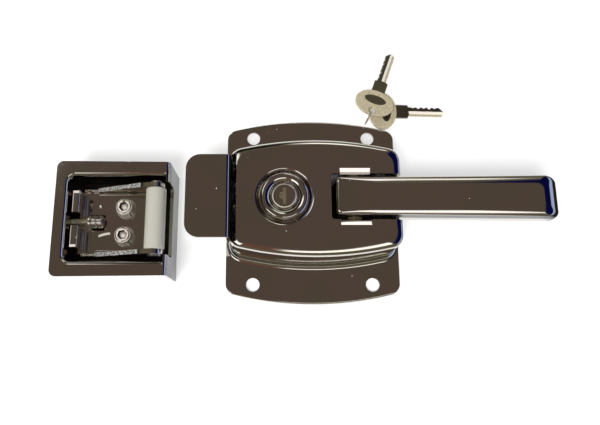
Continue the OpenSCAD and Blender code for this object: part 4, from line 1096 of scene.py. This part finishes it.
class LATCH_OT_fasteners(bpy.types.Operator):
    """Build the screws and split washers of the strike and finish the small parts"""
    bl_idname = "latch.fasteners"
    bl_label = "Fasteners"

    def execute(self, context):
        p = in_mm(context.scene.latch_strike)
        seat, thread = 19.6, thread_tree()
        washer, r, crown, tip = 1.6, 5.0, 1.3, 1.2
        head_z = seat + washer
        rim_z = head_z + 6.0
        screws, washers = [], []
        for s in BOTH:
            at = (STRIKE[0] - p.clamp_dx, STRIKE[1] + s * p.clamp_dy / 2, 0)
            dome = arc(r - crown, rim_z - crown, crown, 0, 90, 8)
            screw = lathe("clamp_screw", [(0, tip), (2.2, tip), (2.7, tip + 0.6), (2.7, head_z), (r, head_z)]
                          + dome + [(0, rim_z)], at, steps=72)
            cut(screw, prism("socket", hexagon(at[0], at[1], 2.89, 0.2),
                             "z", rim_z - 3.2, rim_z + OVER))
            low = rim_z - 3.3
            add(screw, lathe("socket_floor", [(0, low), (2.3, low), (2.3, low + 0.4), (1.2, low + 1.1),
                                              (0, low + 1.4)], at, steps=48))
            soften(flatten(screw), 0.28)
            settle(screw)
            ridges = grown("ridges", thread, [(at[0], at[1], z) for z in
                                              (tip + 1.0 + i for i in range(int(head_z - tip - 1)))],
                           {"Radius": 2.68 * MM, "Ridge": 0.3 * MM, "Material": MATERIALS["zinc"]})
            screws += [screw, ridges]
            washers.append(self.split_washer(at, seat, washer))
        heads = join(*screws)
        heads.name = "clamp_screw_set"
        dress(smooth(heads), "polished", "root", "zinc", "clamp_screws")
        middle = Vector((STRIKE[0] - p.clamp_dx, STRIKE[1], 0))

        def reach(c):
            return min((c - middle - Vector((0, s * p.clamp_dy / 2, 0))).xy.length for s in BOTH)

        # Painted highlight: the socket floor takes the pale material.
        paint(heads, "painted_highlight", lambda c, n: c.z > rim_z - 3.4 and n.z > 0.2 and reach(c) < 2.2)
        # Painted shade: the socket walls take the near black.
        paint(heads, "painted_shade", lambda c, n: c.z > rim_z - 3.4 and n.z < 0.3 and reach(c) < 3.2)
        # Painted highlight: a pale ring on the crown of each head.
        paint(heads, "painted_highlight", lambda c, n: c.z > rim_z - 1.4 and 0.3 < n.z < 0.85 and reach(c) > 3.8)
        split = join(*washers)
        split.name = "split_washers"
        dress(soften(split, 0.45, 4), "zinc", "root", "zinc", "clamp_washers")
        self.adjuster(thread)
        self.small_parts()
        return {"FINISHED"}

    def split_washer(self, at, z0, thick):
        """A spring washer, open at one side, with a tail at one end of the gap."""
        inner, outer, gap, steps = 3.1, 6.2, 4.0, 72
        start = -50.0
        verts, faces = [], []
        for i in range(steps + 1):
            a = radians(start + gap + (360 - 2 * gap) * i / steps)
            flare = max(0.0, (i - 0.93 * steps) / (0.07 * steps))
            r1 = outer + 0.9 * flare
            for r, z in ((inner, z0), (r1, z0), (r1, z0 + thick), (inner, z0 + thick)):
                verts.append((at[0] + r * cos(a), at[1] + r * sin(a), z))
        for i in range(steps):
            k = 4 * i
            faces += [(k + j, k + (j + 1) % 4, k + 4 + (j + 1) % 4, k + 4 + j) for j in range(4)]
        faces += [(3, 2, 1, 0), tuple(4 * steps + j for j in range(4))]
        return mesh_piece("split_washer", verts, faces)

    def adjuster(self, thread):
        axis = (0, STRIKE[1], 22.3)
        head_x0, head_x1, tip = STRIKE[0] - 48.5, STRIKE[0] - 41.5, STRIKE[0] - 69.3
        shaft_r, head_r, groove_r = 2.0, 3.7, 3.35
        groove = [(head_r, head_x1 - 4.3), (groove_r, head_x1 - 4.0), (groove_r, head_x1 - 3.4),
                  (head_r, head_x1 - 3.1)]
        screw = lathe("adjuster_bolt", [(0, tip), (1.5, tip), (shaft_r, tip + 0.6), (shaft_r, head_x0),
                                        (head_r, head_x0)] + groove
                      + [(head_r, head_x1 - 0.7), (3.2, head_x1), (0, head_x1)], axis, "x", 72)
        cut(screw, prism("socket", hexagon(axis[1], axis[2], 2.31), "x", head_x1 - 2.6, head_x1 + OVER))
        soften(flatten(screw), 0.22)
        settle(screw)
        marks = [(tip + 1.0 + i, axis[1], axis[2]) for i in range(int(head_x0 - tip - 1))]
        ridges = grown("ridges", thread, marks,
                       {"Radius": shaft_r * MM, "Ridge": 0.28 * MM, "Turn": Vector((0, pi / 2, 0)),
                        "Material": MATERIALS["zinc"]})
        bolt = join(screw, ridges)
        bolt.name = "adjuster_bolt"
        dress(smooth(bolt), "polished", "adjusting_screw", "zinc", "adjusting_screw")
        paint(bolt, "brass", lambda c, n: c.x < head_x0 - 0.02)
        paint(bolt, "zinc", lambda c, n: head_x0 < c.x < head_x1 - 0.1 and abs(n.x) < 0.5)

    def small_parts(self):
        """Materials, soft edges and smooth shading for the parts whose solids are right."""
        # The pin bracket takes the near black as painted shade, since it stands in shade inside the case.
        special = {"pin_bracket": "painted_shade", "handle_washers": "amber", "adjuster_washer": "polished"}
        for name in ("pin_bracket", "handle_pin", "handle_washers", "handle_pin_clips", "tongue_pin",
                     "tongue_pin_clips", "lock_nut", "lock_cam", "cam_screw", "roller_axle", "clamp_nuts",
                     "adjuster_washer", "adjuster_nut"):
            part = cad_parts[name]
            part.data.materials.clear()
            part.data.materials.append(MATERIALS[special.get(name, "zinc")])
            weld = part.modifiers.new("weld", "WELD")
            weld.merge_threshold = 1e-6
            soften(part, 0.15, 2)


class LATCH_OT_keys(bpy.types.Operator):
    """Build the two keys and the wire ring that they hang on"""
    bl_idname = "latch.keys"
    bl_label = "Keys"

    def execute(self, context):
        p = in_mm(context.scene.latch_keys)
        hole_dx, hole_d = 5.8, 4.4
        low, high = 2.65, 2.65 + p.thick + 1.7
        places = {"key_a": ((42.5, 71.6, high), radians(69.8), (1.0, 1.7, 0.7, 1.4, 1.0)),
                  "key_b": ((48.4, 67.5, low), 0.0, (0.7, 1.4, 1.0, 1.7, 1.0))}
        holes = []
        for node, (at, turn, cuts) in places.items():
            key = self.blank(p, cuts, hole_dx, hole_d)
            placed = (Matrix.Translation(Vector(at) * MM) @ Matrix.Rotation(turn, 4, "Z")
                      @ Matrix.Rotation(asin(at[2] / p.reach), 4, "Y"))
            key.data.transform(placed)
            key.name = node.replace("key_", "door_key_")
            dress(key, "bow", "root", "nickel", node)
            key.data.materials.append(MATERIALS["blade"])
            key.data.materials.append(MATERIALS["milled"])
            smooth(key)
            holes.append(Vector((at[0] - hole_dx * cos(turn), at[1] - hole_dx * sin(turn))))
        out, r = Vector((-0.5, -0.866)), 5.4
        mid = (holes[0] + holes[1]) / 2 + out * (r - 0.6)
        steps = 96
        path = [(mid.x + r * cos(a) * out.x, mid.y + r * cos(a) * out.y, r + p.wire / 2 + r * sin(a))
                for a in (2 * pi * i / steps for i in range(steps + 1))]
        ring = grown("key_wire", wire_tree(), path, {"Radius": p.wire / 2 * MM, "Sides": 20,
                                                     "Material": MATERIALS["zinc"]}, joined=True)
        dress(smooth(ring), "zinc", "root", "zinc", "key_ring")
        return {"FINISHED"}

    def blank(self, p, cuts, hole_dx, hole_d):
        """A key with its bow at the origin and its blade along X; its faces choose among three materials."""
        bow_x, tip, hb, oval_x = p.bow_w / 2, 3.4, p.blade_w / 2, 2.4
        neck_x = bow_x + 8.0
        start = neck_x - 0.6
        edge = [(start, -hb), (p.reach - 1.8, -hb), (p.reach, -0.9), (p.reach, -0.3), (p.reach - tip, hb)]
        for i in reversed(range(len(cuts))):
            x = neck_x + 3.4 + 3.7 * i
            root = hb - cuts[i] * 0.7
            edge += [(x + 1.3, hb), (x + 0.5, root), (x - 0.5, root), (x - 1.3, hb)]
        key = prism("key", edge + [(start, hb)], "z", 0, p.thick)
        neck = bar_outline(bow_x - 4, neck_x, 4.5, 4.5, 0.3, 0.8, 4)
        add(key, prism("neck", neck, "z", 0.15, p.thick - 0.15))
        add(key, prism("bow", ellipse(0, 0, bow_x, p.bow_len / 2, 96), "z", 0.0, p.thick))
        tools = [rod("hole", hole_d, (-hole_dx, 0, 0), "z", -OVER, p.thick + OVER, 48)]
        for z, s, depth in ((p.thick, 1, 0.85), (0, -1, 0.35)):
            mill = [(-hb - 1, z - s * depth), (0.2 - depth / tan(radians(27)), z - s * depth), (0.2, z),
                    (0.2, z + s), (-hb - 1, z + s)]
            tools.append(prism("mill", mill, "x", neck_x + 0.4, p.reach + OVER))
            tools.append(prism("oval", ellipse(oval_x, 0, 3.4, 7.4),
                               "z", *sorted((z - s * 0.35, z + s * OVER))))
            sink = [(0, z - s * 0.7), (hole_d / 2, z - s * 0.7), (hole_d / 2 + 0.9, z + s * 0.1),
                    (0, z + s * 0.1)]
            tools.append(lathe("countersink", sink, (-hole_dx, 0, 0), steps=48))
            tools += [rod("dimple", 1.1, (neck_x - 3.2, y, 0), "z", *sorted((z - s * 0.35, z + s)), 20)
                      for y in (-2.2, 2.2)]
        cut(key, *tools)
        flatten(key)
        soften(key, 0.3)
        settle(key)
        key.data.materials.clear()
        for f in key.data.polygons:
            x, y, z = f.center / MM
            level = abs(f.normal.z)
            sunk = (((x - oval_x) / 3.5) ** 2 + (y / 7.5) ** 2 < 1 and level > 0.9
                    and 0.2 < z < p.thick - 0.2)
            slope = x > neck_x and y < 0.3 and 0.2 < level < 0.97
            land = x > neck_x and y < -1.0
            # Painted highlight: the bevel round the bow takes the pale material, as do the milled slopes of
            # the blade.
            rim = (x / bow_x) ** 2 + (2 * y / p.bow_len) ** 2 > 0.93 and x < bow_x and 0.25 < level < 0.97
            f.material_index = 2 if slope or rim else 1 if not land and (x > bow_x + 0.6 or sunk) else 0
        return key


class LATCH_OT_stage(bpy.types.Operator):
    """Set the floor, the light of the room and the camera"""
    bl_idname = "latch.stage"
    bl_label = "Stage"

    def execute(self, context):
        p = context.scene.latch_stage
        context.scene.view_settings.view_transform = "Standard"
        self.floor(p)
        self.room(context.scene, p)
        self.lamps(p)
        data = bpy.data.cameras.new("camera")
        data.lens, data.sensor_width, data.shift_x = p.lens, 36.0, p.shift
        data.clip_start = 0.005
        camera = bpy.data.objects.new("camera", data)
        camera.location = p.stand
        camera.rotation_euler = (p.tilt, 0, 0)
        context.collection.objects.link(camera)
        context.scene.camera = camera
        return {"FINISHED"}

    def floor(self, p):
        """A pale floor that glows where no part stands on it and is dim where its right end is mirrored."""
        size, z = 1500.0, -0.15
        floor = mesh_piece("floor", [(-size, -size, z), (size, -size, z), (size, size, z), (-size, size, z)],
                           [(0, 1, 2, 3)])
        material = bpy.data.materials.new("pale_floor")
        material.use_nodes = True
        tree = material.node_tree
        tree.nodes.clear()
        rays = add_node(tree, "ShaderNodeLightPath").outputs
        seen = maths(tree, "MAXIMUM", maths(tree, "MAXIMUM", rays["Is Camera Ray"], rays["Is Glossy Ray"]),
                     rays["Is Transmission Ray"])
        open_floor = maths(tree, "MULTIPLY", seen, 0.5)
        place = add_node(tree, "ShaderNodeTexCoord").outputs["Object"]
        under = (((0.0, 0.0, 0.0), (0.0505, 0.036, 1.0)), ((-0.1204, -0.0123, 0.0), (0.0325, 0.027, 1.0)))
        for middle, half in under:
            away = vectors(tree, "DIVIDE", vectors(tree, "SUBTRACT", place, middle), half)
            parts = add_node(tree, "ShaderNodeSeparateXYZ", {0: vectors(tree, "ABSOLUTE", away)}).outputs
            outside = maths(tree, "GREATER_THAN", maths(tree, "MAXIMUM", parts[0], parts[1]), 1.0)
            open_floor = maths(tree, "MULTIPLY", open_floor, outside)
        matt = add_node(tree, "ShaderNodeBsdfDiffuse", {"Color": (*p.floor, 1)})
        white, dim = [add_node(tree, "ShaderNodeEmission", {"Color": colour, "Strength": 1.0}).outputs[0]
                      for colour in ((1, 1, 1, 1), (0.02, 0.018, 0.016, 1))]
        mix = add_node(tree, "ShaderNodeMixShader", {0: open_floor, 1: matt.outputs[0], 2: white})
        side = add_node(tree, "ShaderNodeSeparateXYZ", {0: place}).outputs[0]
        beyond = maths(tree, "MULTIPLY", ranged(tree, side, 0.0, 1.0, 0.15, 0.17), rays["Is Glossy Ray"])
        mix = add_node(tree, "ShaderNodeMixShader", {0: beyond, 1: mix.outputs[0], 2: dim})
        out = add_node(tree, "ShaderNodeOutputMaterial")
        tree.links.new(mix.outputs[0], out.inputs["Surface"])
        floor.data.materials.append(material)

    def room(self, scene, p):
        """A dark warm ceiling, dim walls, the panels and white for the camera."""
        world = bpy.data.worlds.new("room")
        world.use_nodes = True
        scene.world = world
        tree = world.node_tree
        tree.nodes.clear()
        way = add_node(tree, "ShaderNodeTexCoord").outputs["Generated"]
        height = add_node(tree, "ShaderNodeSeparateXYZ", {0: way}).outputs[2]
        tilt = maths(tree, "ARCCOSINE", height)
        level = vectors(tree, "NORMALIZE", vectors(tree, "MULTIPLY", way, (1, 1, 0)))
        light = mixed(tree, self.between(tree, tilt, 36, 200, 8), (*p.ceiling, 1), (*p.wall, 1))
        light = mixed(tree, self.between(tree, tilt, 86, 200, 6), light, (0.34, 0.32, 0.26, 1))
        for turn, half, low, high, colour in PANELS:
            aim = (cos(radians(turn)), sin(radians(turn)), 0)
            facing = add_node(tree, "ShaderNodeVectorMath", {0: level, 1: aim}, operation="DOT_PRODUCT")
            across = self.between(tree, maths(tree, "ARCCOSINE", facing.outputs["Value"]), -400, half, 4)
            up = self.between(tree, tilt, low, high, 2.5)
            light = mixed(tree, maths(tree, "MULTIPLY", across, up), light, (*colour, 1))
        seen = add_node(tree, "ShaderNodeLightPath").outputs["Is Camera Ray"]
        colour = mixed(tree, seen, light, (1, 1, 1, 1))
        back = add_node(tree, "ShaderNodeBackground", {"Color": colour, "Strength": 1.0})
        out = add_node(tree, "ShaderNodeOutputWorld")
        tree.links.new(back.outputs[0], out.inputs["Surface"])

    def between(self, tree, angle, low, high, soft):
        """A mask that is one between two angles, with soft ends; all in degrees."""
        ends = [add_node(tree, "ShaderNodeMapRange",
                         {"Value": angle, "From Min": radians(at - soft), "From Max": radians(at + soft),
                          "To Min": start, "To Max": 1.0 - start}, interpolation_type="SMOOTHSTEP").outputs[0]
                for at, start in ((low, 0.0), (high, 1.0))]
        return maths(tree, "MULTIPLY", *ends)

    def lamps(self, p):
        for name, place, size, share in (("lamp_front", (-0.25, -0.55, 1.1), 0.4, 2.2),
                                         ("lamp_left", (-1.0, 0.25, 0.9), 0.8, 0.6),
                                         ("lamp_back", (0.5, 0.9, 1.0), 0.9, 0.4)):
            data = bpy.data.lights.new(name, "AREA")
            data.energy, data.size = p.lamp_w * share, size
            lamp = bpy.data.objects.new(name, data)
            lamp.location = place
            lamp.rotation_euler = (-Vector(place)).to_track_quat("-Z", "Y").to_euler()
            lamp.visible_glossy = False
            bpy.context.collection.objects.link(lamp)


class LATCH_PT_panel(bpy.types.Panel):
    """Lists the latch's operators and sizes"""
    bl_label = "Cold room latch"
    bl_idname = "LATCH_PT_panel"
    bl_space_type = "VIEW_3D"
    bl_region_type = "UI"
    bl_category = "Latch"

    def draw(self, context):
        for operator in OPERATORS:
            self.layout.operator(operator.bl_idname)
        for name in GROUP_PROPERTIES:
            box = self.layout.box()
            group = getattr(context.scene, name)
            for prop in group.__annotations__:
                box.prop(group, prop)


GROUP_PROPERTIES = {"latch_case": LatchCaseSizes, "latch_levers": LatchLeverSizes,
                    "latch_strike": LatchStrikeSizes, "latch_keys": LatchKeySizes,
                    "latch_finish": LatchFinish, "latch_stage": LatchStage}
OPERATORS = (LATCH_OT_stage, LATCH_OT_materials, LATCH_OT_case, LATCH_OT_handle, LATCH_OT_tongue,
             LATCH_OT_lock, LATCH_OT_strike, LATCH_OT_fasteners, LATCH_OT_keys)
CLASSES = (*GROUP_PROPERTIES.values(), *OPERATORS, LATCH_PT_panel)


def register():
    for cls in CLASSES:
        bpy.utils.register_class(cls)
    for name, group in GROUP_PROPERTIES.items():
        setattr(bpy.types.Scene, name, PointerProperty(type=group))


def unregister():
    for name in GROUP_PROPERTIES:
        delattr(bpy.types.Scene, name)
    for cls in reversed(CLASSES):
        bpy.utils.unregister_class(cls)


def main():
    register()
    for operator in OPERATORS:
        space, name = operator.bl_idname.split(".")
        getattr(getattr(bpy.ops, space), name)()


if __name__ == "__main__":
    main()
